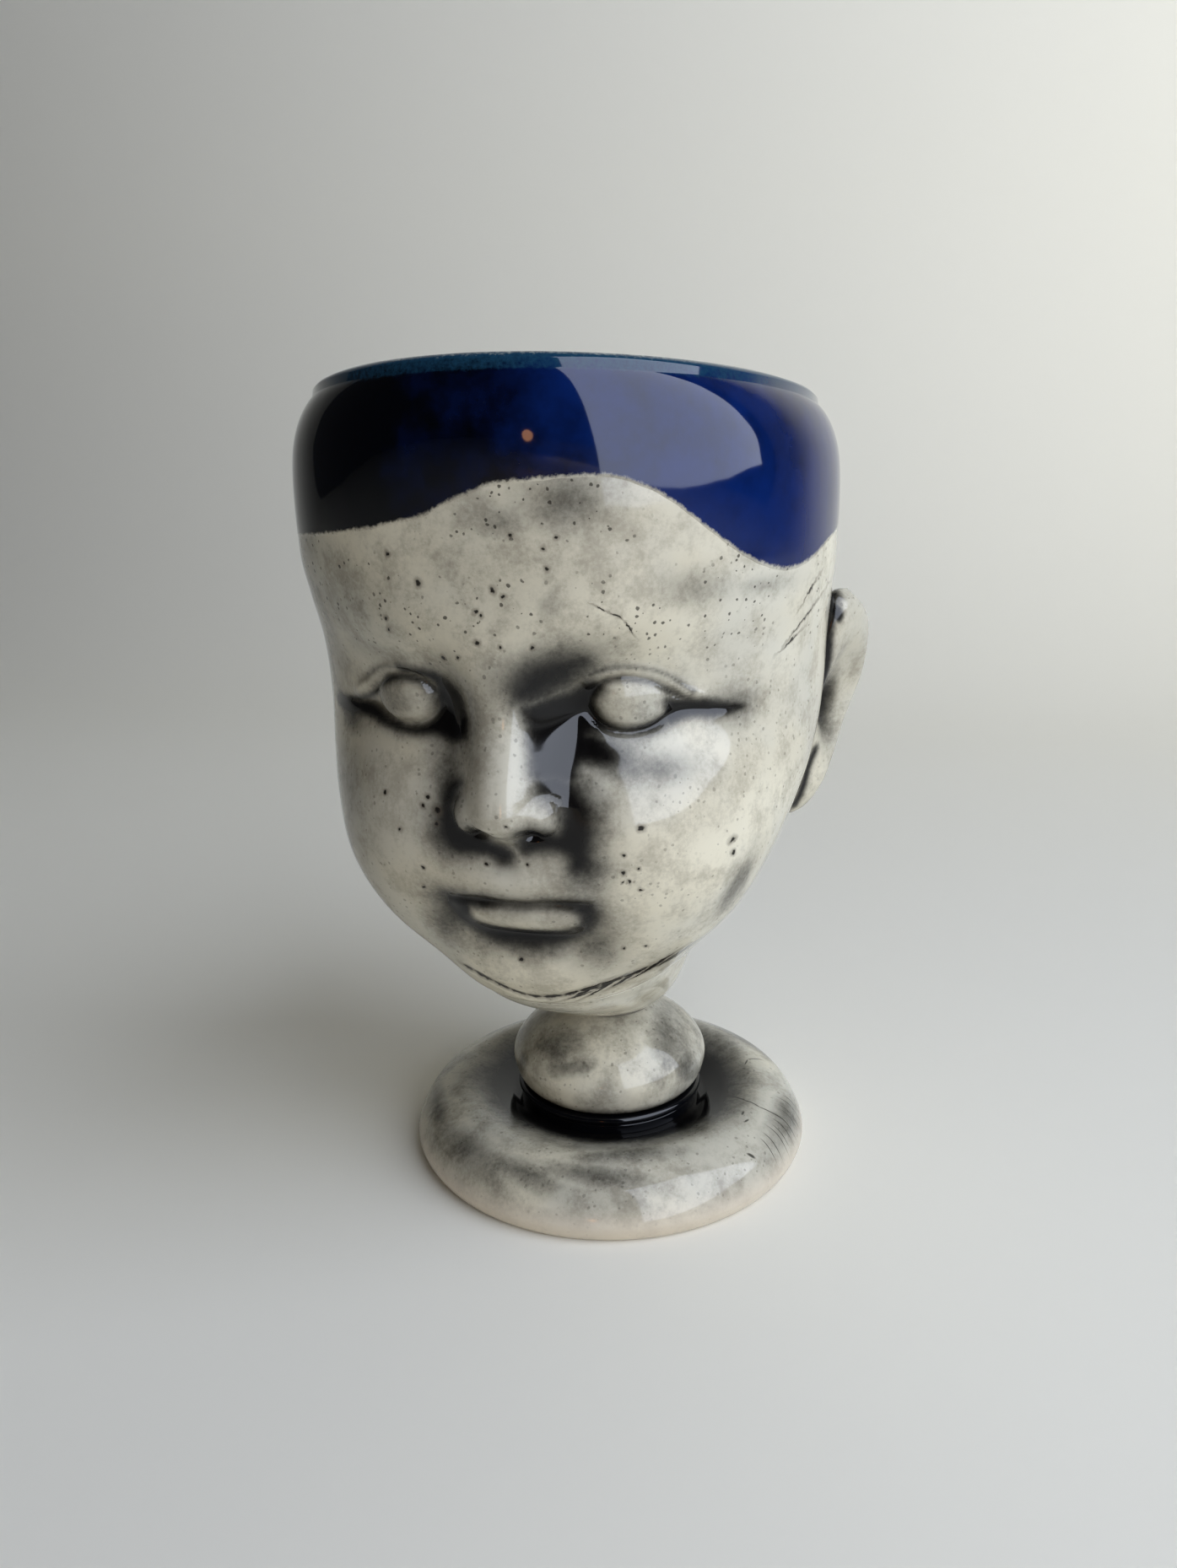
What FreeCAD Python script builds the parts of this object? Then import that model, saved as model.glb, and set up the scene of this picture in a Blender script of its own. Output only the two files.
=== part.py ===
import FreeCAD, Part
import math
import os

from FreeCAD import Vector

# A ceramic goblet whose cup is a doll's head, cut off flat above the forehead.
# The head stands on a turned stem with a round knob and a domed foot.
# Sizes are millimetres. The origin is the centre of the foot's flat underside,
# +Z is up and the face looks along -Y. The doll's left ear is on the +X side.

# Stem: a turned knob that narrows to a neck joint
stem_base_radius = 17.2
knob_radius = 21.2
knob_height = 21.6
knob_underside_height = 14.6
shoulder_radius = 14.6
shoulder_height = 29.2
stem_top_radius = 9.4
stem_top_height = 32.4

# Collar: the black glazed ring round the stem's base, with a bead on its edge
collar_width = 3.7
collar_height = 4.0
collar_bead_radius = 0.9

# Foot: a domed disc with a flat, unglazed underside and a seat for the collar
foot_base_radius = 42.0
foot_bulge_radius = 43.6
foot_bulge_height = 4.2
foot_crest_radius = 33.0
foot_crest_height = 13.2
foot_seat_height = 10.0
seat_clearance = 0.4

# Joint: the thin ring of slip that lutes the neck to the stem
joint_thickness = 0.6
joint_overhang = 0.35

# Neck: an oblique funnel from the joint to the jaw
# The funnel's flare, as shares of its height, of its spread to the sides and of
# its spread forward and back to the jaw
neck_flare_shares = (
    (0.00, 0.00, 0.00),
    (0.05, 0.10, 0.04),
    (0.14, 0.34, 0.20),
    (0.35, 0.60, 0.42),
    (0.60, 0.80, 0.68),
    (0.82, 0.93, 0.88),
    (1.00, 1.00, 1.00),
)

# Head: a shell that leans forward over the stem
head_seat_height = 49.5
head_height = 112.4
head_half_width = 51.0
head_front_reach = 58.9
head_back_reach = 54.0
head_centre_x = -4.4
head_centre_y = -6.0

# Each section of the head from the neck up to the rim: height at its front and
# at its back, half-width, reach forward, reach backward, and its squareness
head_section_shares = (
    (0.000, 0.057, 0.482, 0.574, 0.630, 2.00),
    (0.018, 0.079, 0.529, 0.618, 0.704, 2.05),
    (0.075, 0.127, 0.625, 0.683, 0.796, 2.30),
    (0.154, 0.180, 0.729, 0.740, 0.889, 3.00),
    (0.241, 0.241, 0.818, 0.812, 0.926, 2.95),
    (0.338, 0.338, 0.902, 0.856, 0.944, 2.35),
    (0.417, 0.417, 0.945, 0.862, 0.967, 2.05),
    (0.504, 0.504, 0.967, 0.866, 0.981, 1.88),
    (0.601, 0.601, 0.975, 0.898, 1.000, 1.90),
    (0.684, 0.671, 0.990, 0.935, 1.000, 2.02),
    (0.764, 0.737, 1.000, 0.969, 1.000, 2.10),
    (0.920, 0.863, 0.986, 1.000, 0.981, 2.05),
    (1.000, 0.928, 0.904, 0.980, 0.944, 1.96),
)

# Face: each swelling (+) or hollow (-) as its place to the side and its height
# above the neck, its half-size across and up, and how far it stands out
face_size = 51.0
face_shares = (
    # Nose: bridge, ridge, tip, wings and the base below the tip
    (0.000, 1.128, 0.085, 0.150, 0.045),
    (0.000, 0.982, 0.092, 0.150, 0.090),
    (0.000, 0.843, 0.115, 0.085, 0.095),
    (0.170, 0.831, 0.062, 0.060, 0.066),
    (0.000, 0.725, 0.230, 0.050, -0.030),
    # Eyes: socket, hollow beside the bridge and the blank eyeball
    (0.400, 1.167, 0.270, 0.135, -0.085),
    (0.165, 1.141, 0.080, 0.130, -0.070),
    (0.388, 1.167, 0.150, 0.092, 0.075),
    # Brow ridge and cheek
    (0.430, 1.400, 0.270, 0.100, 0.020),
    (0.520, 0.755, 0.260, 0.230, 0.022),
    # Mouth: upper lip, parting, lower lip, corners and the hollow below
    (0.000, 0.569, 0.200, 0.070, 0.060),
    (0.000, 0.492, 0.260, 0.022, -0.040),
    (0.000, 0.429, 0.190, 0.052, 0.052),
    (0.275, 0.492, 0.060, 0.080, -0.045),
    (0.000, 0.330, 0.260, 0.055, -0.040),
    # Chin
    (0.000, 0.176, 0.200, 0.100, 0.030),
)

# Shell: the wall of the cup and its rounded inside
wall = 5.0
rim_rise = 1.6
# The rounded rim, as moves in by a share of the wall and up by a share of the rise
rim_shares = ((0.12, 0.80), (0.50, 1.25), (0.88, 0.80), (1.00, 0.00))
floor_thickness = 10.0
floor_flat_share = 0.30

# Glaze: the thickness of the blue coat, how far it comes down from the rim, and
# the rise of its scalloped edge, from the back round the right side and the face
glaze_thickness = 0.5
glaze_gap = 0.2
hair_band_depth = 32.9
hairline_rise = 18.0
hairline_shares = (
    0.28, 0.50, 0.39, 0.11, 0.06, 0.28, 0.50, 0.53, 0.42, 0.41, 0.42, 0.61,
    0.85, 0.98, 0.72, 0.25, 0.01, 0.19, 0.50, 0.61, 0.39, 0.11, 0.06, 0.19,
)

# Ears: a flared shell with a rolled rim, a lobe and a hollow
ear_height = 48.0
ear_width = 22.0
ear_thickness = 5.0
ear_squareness = 2.4
ear_rim_height = 2.2
ear_hollow_depth = 2.6
# Rings from the middle of the ear's front round to the middle of its back: how
# far out each lies, and its side: 1 is the front, 0 the edge and -1 the back
ear_ring_shares = (
    (0.05, 1), (0.35, 1), (0.62, 1), (0.80, 1), (0.94, 1),
    (1.00, 0), (0.90, -1), (0.60, -1), (0.30, -1), (0.05, -1),
)
ear_centre_rise = 48.5
ear_centre_y = 9.0
ear_standoff = -4.2
ear_flare_angle = 24.0
ear_lean_angle = 20.0

# Nets: how many control points run around and up each moulded surface
columns_around = 56
face_crowding = 0.45
rows_up = 40
rows_inside = 12
glaze_rows = 8
ear_columns = 28


def net_face(rows, degree=3):
    """A smooth surface, closed all the way round, over rows of control points."""
    around = len(rows[0])
    up = len(rows)
    columns = [[row[i] for row in rows] for i in range(around)]
    ends = degree + 1
    surface = Part.BSplineSurface()
    surface.buildFromPolesMultsKnots(
        columns,
        [1] * (around + 1),
        [ends] + [1] * (up - ends) + [ends],
        list(range(around + 1)),
        list(range(up - degree + 1)),
        True,
        False,
        3,
        degree,
    )
    return surface


def end_cap(surface, last):
    """The flat face that closes a net at its first or last row."""
    bounds = surface.bounds()
    edge = surface.vIso(bounds[3] if last else bounds[2]).toShape()
    return Part.Face(Part.Wire([edge]))


def closed_solid(faces):
    """One solid from faces that share their edges."""
    shell = Part.makeShell(faces)
    shell.sewShape()
    solid = Part.Solid(shell.Shells[0])
    if solid.Volume < 0:
        solid.reverse()
    return solid


def net_solid(rows):
    """A solid inside a net whose first and last rows are flat loops."""
    surface = net_face(rows)
    return closed_solid([surface.toShape(), end_cap(surface, False), end_cap(surface, True)])


def skin_solid(outer_rows, inner_rows):
    """A thin ring-shaped coat between two nets, closed along both edges."""
    edges = [net_face([inner_rows[i], outer_rows[i]], 1) for i in (0, -1)]
    nets = [net_face(outer_rows), net_face(inner_rows)]
    return closed_solid([surface.toShape() for surface in nets + edges])


def revolved(profile):
    """A solid of revolution about the stem's axis from edges in the XZ plane."""
    face = Part.Face(Part.Wire(profile))
    return face.revolve(Vector(0, 0, 0), Vector(0, 0, 1), 360)


def line(start, end):
    """A straight profile edge between two (radius, height) points."""
    return Part.makeLine(Vector(start[0], 0, start[1]), Vector(end[0], 0, end[1]))


def curve(points):
    """A smooth profile edge through (radius, height) points."""
    spline = Part.BSplineCurve()
    spline.interpolate([Vector(radius, 0, height) for radius, height in points])
    return spline.toShape()


def along(values, t):
    """The value at t, from 0 to 1, on a smooth curve through evenly spaced values."""
    place = min(max(t, 0.0), 1.0) * (len(values) - 1)
    i = min(int(place), len(values) - 2)
    f = place - i
    before = values[max(i - 1, 0)]
    a = values[i]
    b = values[i + 1]
    after = values[min(i + 2, len(values) - 1)]
    slope_a = (b - before) / 2
    slope_b = (after - a) / 2
    rise = b - a
    return a + f * (slope_a + f * ((3 * rise - 2 * slope_a - slope_b) + f * (slope_a + slope_b - 2 * rise)))


def power(value, exponent):
    """A power that keeps the sign of its value."""
    return math.copysign(abs(value) ** exponent, value)


def section(t):
    """The six measures of the head's section at t, from 0 at the neck to 1 at the rim."""
    shares = [along([row[i] for row in head_section_shares], t) for i in range(6)]
    low = head_seat_height + head_height * shares[0]
    high = head_seat_height + head_height * shares[1]
    half_width = head_half_width * shares[2]
    front = head_front_reach * shares[3]
    back = head_back_reach * shares[4]
    return low, high, half_width, front, back, shares[5]


def section_point(measures, angle, inset=0.0):
    """A point of a section, at an angle from the front, moved in by an inset."""
    low, high, half_width, front, back, squareness = measures
    exponent = 2 / squareness
    forward = power(math.cos(angle), exponent)
    reach = front - inset if forward > 0 else back - inset
    x = (half_width - inset) * power(math.sin(angle), exponent)
    y = -reach * forward
    slope = (low - high) / (front + back)
    z = high + slope * (back - y)
    return Vector(head_centre_x + x, head_centre_y + y, z)


def face_push(point, angle):
    """How far the features carry a point of the face forward."""
    side = abs(point.x - head_centre_x) / face_size
    height = (point.z - head_seat_height) / face_size
    push = 0.0
    for place, level, across, up, stand in face_shares:
        distance = ((side - place) / across) ** 2 + ((height - level) / up) ** 2
        push += stand * math.exp(-distance)
    return face_size * push * max(math.cos(angle), 0.0) ** 0.5


def head_point(t, angle, offset=0.0):
    """A point of the head's outside, with its features, moved out by an offset."""
    point = section_point(section(t), angle, -offset)
    return point - Vector(0, face_push(point, angle), 0)


def head_angles():
    """Angles around the head, with more of them on the face."""
    steps = [2 * math.pi * i / columns_around - math.pi for i in range(columns_around)]
    return [step - face_crowding * math.sin(step) for step in steps]


def rim_row(inset, rise):
    """A row of points along the rim, moved in towards the cup and up."""
    measures = section(1.0)
    return [section_point(measures, angle, inset) + Vector(0, 0, rise) for angle in head_angles()]


def inside_rows(offset=0.0):
    """Rows down the inside of the cup, from the rim to the flat of its floor."""
    floor = floor_level()
    rows = []
    for i in range(1, rows_inside + 1):
        depth = i / rows_inside
        measures = section(1.0 - depth * (1.0 - floor))
        bend = max(0.0, 2 * depth - 1)
        shrink = 1.0 - (1.0 - floor_flat_share) * bend ** 2.5
        row = []
        for angle in head_angles():
            point = section_point(measures, angle, wall + offset)
            x = head_centre_x + (point.x - head_centre_x) * shrink
            y = head_centre_y + (point.y - head_centre_y) * shrink
            z = point.z + (floor_height() + offset - point.z) * bend ** 2
            row.append(Vector(x, y, z))
        rows.append(row)
    return rows


def floor_height():
    """The height of the flat of the cup's floor."""
    return head_seat_height + floor_thickness


def floor_level():
    """The t of the head's section at the height of the cup's floor."""
    low, high = 0.0, 1.0
    for _ in range(30):
        middle = (low + high) / 2
        if section(middle)[0] < floor_height():
            low = middle
        else:
            high = middle
    return low


def seat_row():
    """The flat loop where the head sits on the neck."""
    return [section_point(section(0.0), angle) for angle in head_angles()]


def outside_rows():
    """Rows up the outside of the head, from its seat to just under the rim."""
    rows = [seat_row()]
    for i in range(1, rows_up):
        rows.append([head_point(i / rows_up, angle) for angle in head_angles()])
    return rows + [rim_row(0.0, 0.0)]


def head_cup():
    """The cast shell: outside with its face, rounded rim and hollow inside."""
    rim = [rim_row(wall * inset, rim_rise * rise) for inset, rise in rim_shares]
    return net_solid(outside_rows() + rim + inside_rows())


def hairline_level(index):
    """The t of the glaze's scalloped edge at one of the head's angles."""
    angle = head_angles()[index]
    place = (angle + math.pi) / (2 * math.pi)
    rise = hairline_rise * along(hairline_shares + hairline_shares[:1], place)
    height = head_seat_height + head_height - hair_band_depth + rise
    low, high = 0.3, 1.0
    for _ in range(24):
        middle = (low + high) / 2
        if head_point(middle, angle).z < height:
            low = middle
        else:
            high = middle
    return low


def glaze_rows_at(offset):
    """Rows from the scalloped edge up to the rim and over it, moved out by an offset."""
    levels = [hairline_level(i) for i in range(columns_around)]
    rows = []
    for i in range(glaze_rows + 1):
        up = i / glaze_rows
        rows.append(
            [
                head_point(level + (1.0 - level) * up, angle, offset)
                for level, angle in zip(levels, head_angles())
            ]
        )
    inset, rise = rim_shares[0]
    rows.append(rim_row(wall * inset - offset, rim_rise * rise + offset))
    rows.append(crest_row(offset))
    return rows


def hair_glaze():
    """The blue coat on the outside, from its scalloped edge over the rim."""
    return skin_solid(glaze_rows_at(glaze_gap + glaze_thickness), glaze_rows_at(glaze_gap))


def crest_row(offset):
    """The row along the top of the rim, raised by an offset."""
    inset, rise = rim_shares[1]
    return rim_row(wall * inset, rim_rise * rise + offset)


def lining_face(offset):
    """The surface of the lining at an offset from the wall of the cup."""
    inset, rise = rim_shares[2]
    rows = [crest_row(offset), rim_row(wall * inset + offset, rim_rise * rise + offset), rim_row(wall + offset, 0.0)]
    return net_face(rows + inside_rows(offset))


def cup_lining():
    """The blue coat on the inside, from the rim down over the floor."""
    against = lining_face(glaze_gap)
    open_side = lining_face(glaze_gap + glaze_thickness)
    edge = net_face([crest_row(glaze_gap), crest_row(glaze_gap + glaze_thickness)], 1)
    faces = [against.toShape(), open_side.toShape(), edge.toShape()]
    return closed_solid(faces + [end_cap(against, True), end_cap(open_side, True)])


def neck():
    """The oblique funnel between the joint and the flat seat under the jaw."""
    start_height = stem_top_height + joint_thickness
    rows = []
    for level, widen, lengthen in neck_flare_shares:
        row = []
        for point in seat_row():
            angle = math.atan2(point.x - head_centre_x, -(point.y - head_centre_y))
            x = stem_top_radius * math.sin(angle)
            y = -stem_top_radius * math.cos(angle)
            z = start_height + (point.z - start_height) * level
            row.append(Vector(x + (point.x - x) * widen, y + (point.y - y) * lengthen, z))
        rows.append(row)
    return net_solid(rows)


def foot():
    """The domed disc, with a flat underside and a flat seat for the stem."""
    seat_radius = collar_outer_radius() + collar_bead_radius + seat_clearance
    outline = curve(
        (
            (foot_base_radius, 0),
            (foot_bulge_radius, foot_bulge_height),
            ((foot_bulge_radius + foot_crest_radius) / 2 + joint_thickness, foot_crest_height * 0.82),
            (foot_crest_radius, foot_crest_height),
            (seat_radius, foot_seat_height),
        )
    )
    seat = line((seat_radius, foot_seat_height), (0, foot_seat_height))
    axis = line((0, foot_seat_height), (0, 0))
    underside = line((0, 0), (foot_base_radius, 0))
    return revolved([outline, seat, axis, underside])


def collar_outer_radius():
    """The radius of the collar's wall, which fits round the stem's base."""
    return stem_base_radius + collar_width


def collar_ring():
    """The glossy black ring, with a bead round its upper edge."""
    inner = stem_base_radius
    outer = collar_outer_radius()
    top = foot_seat_height + collar_height
    bead_middle = top - collar_bead_radius
    bead_foot = bead_middle - collar_bead_radius
    bead = Part.Arc(
        Vector(outer, 0, bead_foot),
        Vector(outer + collar_bead_radius, 0, bead_middle),
        Vector(outer, 0, top),
    ).toShape()
    return revolved(
        [
            line((inner, foot_seat_height), (outer, foot_seat_height)),
            line((outer, foot_seat_height), (outer, bead_foot)),
            bead,
            line((outer, top), (inner, top)),
            line((inner, top), (inner, foot_seat_height)),
        ]
    )


def stem_knob():
    """The turned stem: a tenon in the collar, a round knob and a narrow top."""
    outline = curve(
        (
            (stem_base_radius, knob_underside_height),
            (knob_radius - joint_thickness, (knob_underside_height + knob_height) / 2),
            (knob_radius, knob_height),
            ((knob_radius + shoulder_radius) / 2 + joint_thickness, (knob_height + shoulder_height) / 2 + joint_thickness),
            (shoulder_radius, shoulder_height),
            (stem_top_radius, stem_top_height),
        )
    )
    return revolved(
        [
            line((0, foot_seat_height), (stem_base_radius, foot_seat_height)),
            line((stem_base_radius, foot_seat_height), (stem_base_radius, knob_underside_height)),
            outline,
            line((stem_top_radius, stem_top_height), (0, stem_top_height)),
            line((0, stem_top_height), (0, foot_seat_height)),
        ]
    )


def neck_joint():
    """The thin slip joint that shows as a line between the stem and the neck."""
    joint = Part.makeCylinder(stem_top_radius + joint_overhang, joint_thickness, Vector(0, 0, stem_top_height))
    return joint


def ear():
    """An upright ear shell with a rolled rim, its hollow facing -Y."""
    half_height = ear_height / 2
    half_width = ear_width / 2
    rows = []
    for reach, face in ear_ring_shares:
        row = []
        for i in range(ear_columns):
            angle = 2 * math.pi * i / ear_columns
            taper = 1.0 - 0.30 * max(0.0, -math.cos(angle)) ** 1.5
            across = half_width * reach * power(math.sin(angle), 2 / ear_squareness) * taper
            up = half_height * reach * power(math.cos(angle), 2 / ear_squareness)
            rolled = ear_rim_height * math.exp(-(((reach - 0.82) / 0.14) ** 2))
            hollow = ear_hollow_depth * math.exp(-((reach / 0.55) ** 2))
            out = ear_thickness / 2 * face + (rolled - hollow if face > 0 else 0.0)
            row.append(Vector(across, -out, up))
        rows.append(row)
    return net_solid(rows)


def seated_ear(side):
    """An ear cut to the side of the head: side is 1 for the doll's left."""
    shape = ear()
    shape.rotate(Vector(0, 0, 0), Vector(0, 0, 1), 90 - ear_flare_angle)
    shape.rotate(Vector(0, 0, 0), Vector(0, 1, 0), ear_lean_angle)
    shape.translate(Vector(head_half_width + ear_standoff, ear_centre_y, head_seat_height + ear_centre_rise))
    if side < 0:
        shape = shape.mirror(Vector(0, 0, 0), Vector(1, 0, 0))
    shape.translate(Vector(head_centre_x, 0, 0))
    pieces = shape.cut(head_cup()).Solids
    return max(pieces, key=lambda piece: piece.Volume)


nodes = {
    "foot": foot(),
    "collar_ring": collar_ring(),
    "stem_knob": stem_knob(),
    "neck_joint": neck_joint(),
    "neck": neck(),
    "head_cup": head_cup(),
    "hair_glaze": hair_glaze(),
    "cup_lining": cup_lining(),
    "left_ear": seated_ear(1),
    "right_ear": seated_ear(-1),
}

os.makedirs("parts", exist_ok=True)
for name, shape in nodes.items():
    shape.exportStep("parts/" + name + ".step")
    print(name, shape.ShapeType, shape.isValid(), round(shape.Volume))
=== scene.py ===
# %% [markdown]
# # A head goblet in glazed ceramic
# The real object is slip-cast stoneware: a doll's head cut off flat above the forehead, standing on a turned
# stem and a domed foot. It could be modelled by pushing a sphere about by hand, but a cast head is a smooth
# rule with small features on it, so here the head comes from a table of sections and lists of features.
# Every length in this lesson is in real millimetres and is turned to Blender's metres in one place.

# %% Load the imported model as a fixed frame
import math
import bpy
import numpy as np
from mathutils import Matrix, Vector
from mathutils.bvhtree import BVHTree


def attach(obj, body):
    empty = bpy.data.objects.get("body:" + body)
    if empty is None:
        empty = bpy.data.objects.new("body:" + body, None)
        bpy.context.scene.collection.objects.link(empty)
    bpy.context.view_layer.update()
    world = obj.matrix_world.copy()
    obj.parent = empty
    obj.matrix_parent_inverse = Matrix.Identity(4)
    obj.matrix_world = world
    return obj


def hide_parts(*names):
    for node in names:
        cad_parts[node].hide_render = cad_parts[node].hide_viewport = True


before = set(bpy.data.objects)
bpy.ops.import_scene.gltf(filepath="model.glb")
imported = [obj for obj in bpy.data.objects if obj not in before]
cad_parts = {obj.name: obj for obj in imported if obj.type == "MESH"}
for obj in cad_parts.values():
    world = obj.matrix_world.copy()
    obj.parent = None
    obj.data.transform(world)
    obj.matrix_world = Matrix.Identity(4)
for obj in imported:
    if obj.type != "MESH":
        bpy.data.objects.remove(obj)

MM = 0.001
centre_x, centre_y = -4.4, -6.0  # the head stands a little off the stem's axis
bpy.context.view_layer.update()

# %% [markdown]
# ## The camera
# The photograph was taken with a phone's main lens from about 24 cm away, a little to the doll's left and
# from just under the height of the rim. Such a short distance gives the strong taper from the rim down to the
# foot, so the lens and the distance matter more here than in most pictures.

# %% Camera
camera_turn, camera_yaw, camera_pitch, camera_roll = (math.radians(a) for a in (12.2, -0.87, 15.35, -1.0))
camera_distance, camera_height = 242.8, 148.7
lens_mm, sensor_mm = 27.1, 36

across = Vector((math.cos(camera_turn), math.sin(camera_turn), 0))
inward = Vector((-math.sin(camera_turn), math.cos(camera_turn), 0))
right = math.cos(camera_yaw) * across - math.sin(camera_yaw) * inward
level = math.sin(camera_yaw) * across + math.cos(camera_yaw) * inward
forward = math.cos(camera_pitch) * level - math.sin(camera_pitch) * Vector((0, 0, 1))
upward = math.sin(camera_pitch) * level + math.cos(camera_pitch) * Vector((0, 0, 1))
rolled_right = math.cos(camera_roll) * right + math.sin(camera_roll) * upward
rolled_up = math.cos(camera_roll) * upward - math.sin(camera_roll) * right
place = -camera_distance * MM * inward + Vector((0, 0, camera_height * MM))

lens = bpy.data.cameras.new("photo_lens")
lens.lens, lens.sensor_width, lens.clip_start = lens_mm, sensor_mm, 10 * MM
camera = bpy.data.objects.new("photo_camera", lens)
turn = Matrix((rolled_right, rolled_up, -forward)).transposed().to_4x4()
camera.matrix_world = Matrix.Translation(place) @ turn
bpy.context.collection.objects.link(camera)
bpy.context.scene.camera = camera
bpy.context.scene.view_settings.view_transform = "Standard"
print("camera stands at", [round(v, 4) for v in place])

# %% [markdown]
# ## Two small helpers
# A colour picked from a picture is sRGB, while a shader wants linear light, so one function turns the first
# into the second. The other adds a node, sets it up, links it and hands back one of its outputs. Nodes could
# be placed by hand in the editor too, but in a script one such function keeps every material readable.

# %% Helpers for colours and nodes
def hex_colour(code):
    """An sRGB hex colour as linear RGBA."""
    parts = [int(code[i:i + 2], 16) / 255 for i in (1, 3, 5)]
    return tuple(p / 12.92 if p <= 0.04045 else ((p + 0.055) / 1.055) ** 2.4 for p in parts) + (1.0,)


def add(tree, kind, inputs=(), output=0, **settings):
    """Adds a node and gives back one of its outputs, or the node itself for an output of None.

    A kind without "Node" in it is a shader node. Inputs come in order or by name, and each one is a value, a
    hex colour or another node's output.
    """
    node = tree.nodes.new(kind if "Node" in kind else "ShaderNode" + kind)
    for name, value in settings.items():
        setattr(node, name, value)
    for key, value in inputs.items() if isinstance(inputs, dict) else enumerate(inputs):
        if isinstance(value, bpy.types.NodeSocket):
            tree.links.new(value, node.inputs[key])
        else:
            node.inputs[key].default_value = hex_colour(value) if isinstance(value, str) else value
    return node if output is None else node.outputs[output]


# settings that many nodes share: a range that eases in and out, and a mix of colours
eased = {"interpolation_type": "SMOOTHSTEP"}
of_colours = {"output": "Result", "data_type": "RGBA"}
print("mid grey as linear light:", [round(v, 3) for v in hex_colour("#808080")])

# %% [markdown]
# ## From a net of points to a mesh
# Every surface that isn't thrown on the wheel is a net: loops of points that go round the piece, one after
# the other. A sphere could be sculpted into the same forms, but a net keeps each point's place known, so a
# number such as how dark the wash lies can be kept with each point for its material to read.

# %% Meshes from nets
def net_mesh(name, rows, ring=False):
    """A mesh over rows of points that close all the way round, ended by fans or joined into a ring."""
    rows = np.asarray(rows, dtype=float)
    up, around = rows.shape[:2]
    points = rows.reshape(-1, 3)
    index = np.arange(up * around).reshape(up, around)
    if ring:
        index = np.vstack([index, index[:1]])
    nexts = np.roll(index, -1, axis=1)
    faces = np.stack([index[:-1], nexts[:-1], nexts[1:], index[1:]], axis=-1).reshape(-1, 4).tolist()
    for loop, flip in () if ring else ((index[0], True), (index[-1], False)):
        middle = len(points)
        points = np.vstack([points, points[loop].mean(axis=0)])
        pairs = zip(loop.tolist(), np.roll(loop, -1).tolist())
        faces += [(b, a, middle) if flip else (a, b, middle) for a, b in pairs]
    mesh = bpy.data.meshes.new(name)
    mesh.from_pydata((points * MM).tolist(), [], faces)
    mesh.polygons.foreach_set("use_smooth", [True] * len(mesh.polygons))
    mesh.update()
    return mesh


def show(name, mesh, material):
    """Puts a finished mesh in the scene as a piece at the origin."""
    piece = bpy.data.objects.new(name, mesh)
    bpy.context.collection.objects.link(piece)
    mesh.materials.clear()
    mesh.materials.append(material)
    triangles = sum(len(p.vertices) - 2 for p in mesh.polygons)
    print(f"{name}: {triangles} triangles")
    return piece


def point_values(mesh, name, values):
    """Keeps one number for each point of a mesh, for a material to read."""
    layer = mesh.attributes.new(name, "FLOAT", "POINT")
    padded = np.zeros(len(mesh.vertices), dtype=np.float32)
    padded[:len(values)] = values
    layer.data.foreach_set("value", padded)


print("points are given in mm and kept times", MM)

# %% [markdown]
# ## Pinholes in the glaze
# Fine black specks sit all over the real head, where the wash and bits of iron show through the glaze. They
# could be painted one by one, but there are hundreds, so a Voronoi pattern makes them: some of its cells get
# a round speck, each of its own size, and a little noise keeps the specks from being true circles. The real
# ones are mostly 0.1 to 0.2 mm, too fine to show in the render, so they are drawn up to 0.36 mm in radius.

# %% Specks of uneven size
speck_spacing_mm, largest_speck_mm, speck_share = 1.2, 0.36, 0.75


def speckles(tree, where):
    """1 on the specks and 0 between them."""
    wobble = add(tree, "TexNoise", {"Vector": where, "Scale": 1000 / 0.8}, "Color")
    moved = add(tree, "VectorMath", (wobble, (0.5 * MM,) * 3, where), operation="MULTIPLY_ADD")
    cells = add(tree, "TexVoronoi", {"Vector": moved, "Scale": 1000 / speck_spacing_mm}, None).outputs
    chance = add(tree, "SeparateColor", (cells["Color"],))
    largest = largest_speck_mm / speck_spacing_mm
    radius = add(tree, "MapRange", (chance, 1 - speck_share, 1.0, 0.0, largest), **eased)
    radius = add(tree, "Math", (radius, 1e-4), operation="MAXIMUM")
    away = add(tree, "Math", (cells["Distance"], radius), operation="DIVIDE")
    return add(tree, "MapRange", (away, 0.7, 1.1, 1.0, 0.0), **eased)


print("one speck in about", round(speck_spacing_mm ** 2 / speck_share, 2), "square mm")

# %% [markdown]
# ## White clay under a black oxide wash
# The potter paints the oxide on, wipes it off the high places and leaves it in the hollows. A painted picture
# could be wrapped on the head, but here the colour is worked out: clay, grey smoke and black stain are mixed
# by two amounts that come with each point, and noise of about 1 and 7 mm breaks the edges up as a sponge
# does. To the eye this gives a warm pale face with soft grey round sharp black lines.

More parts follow.
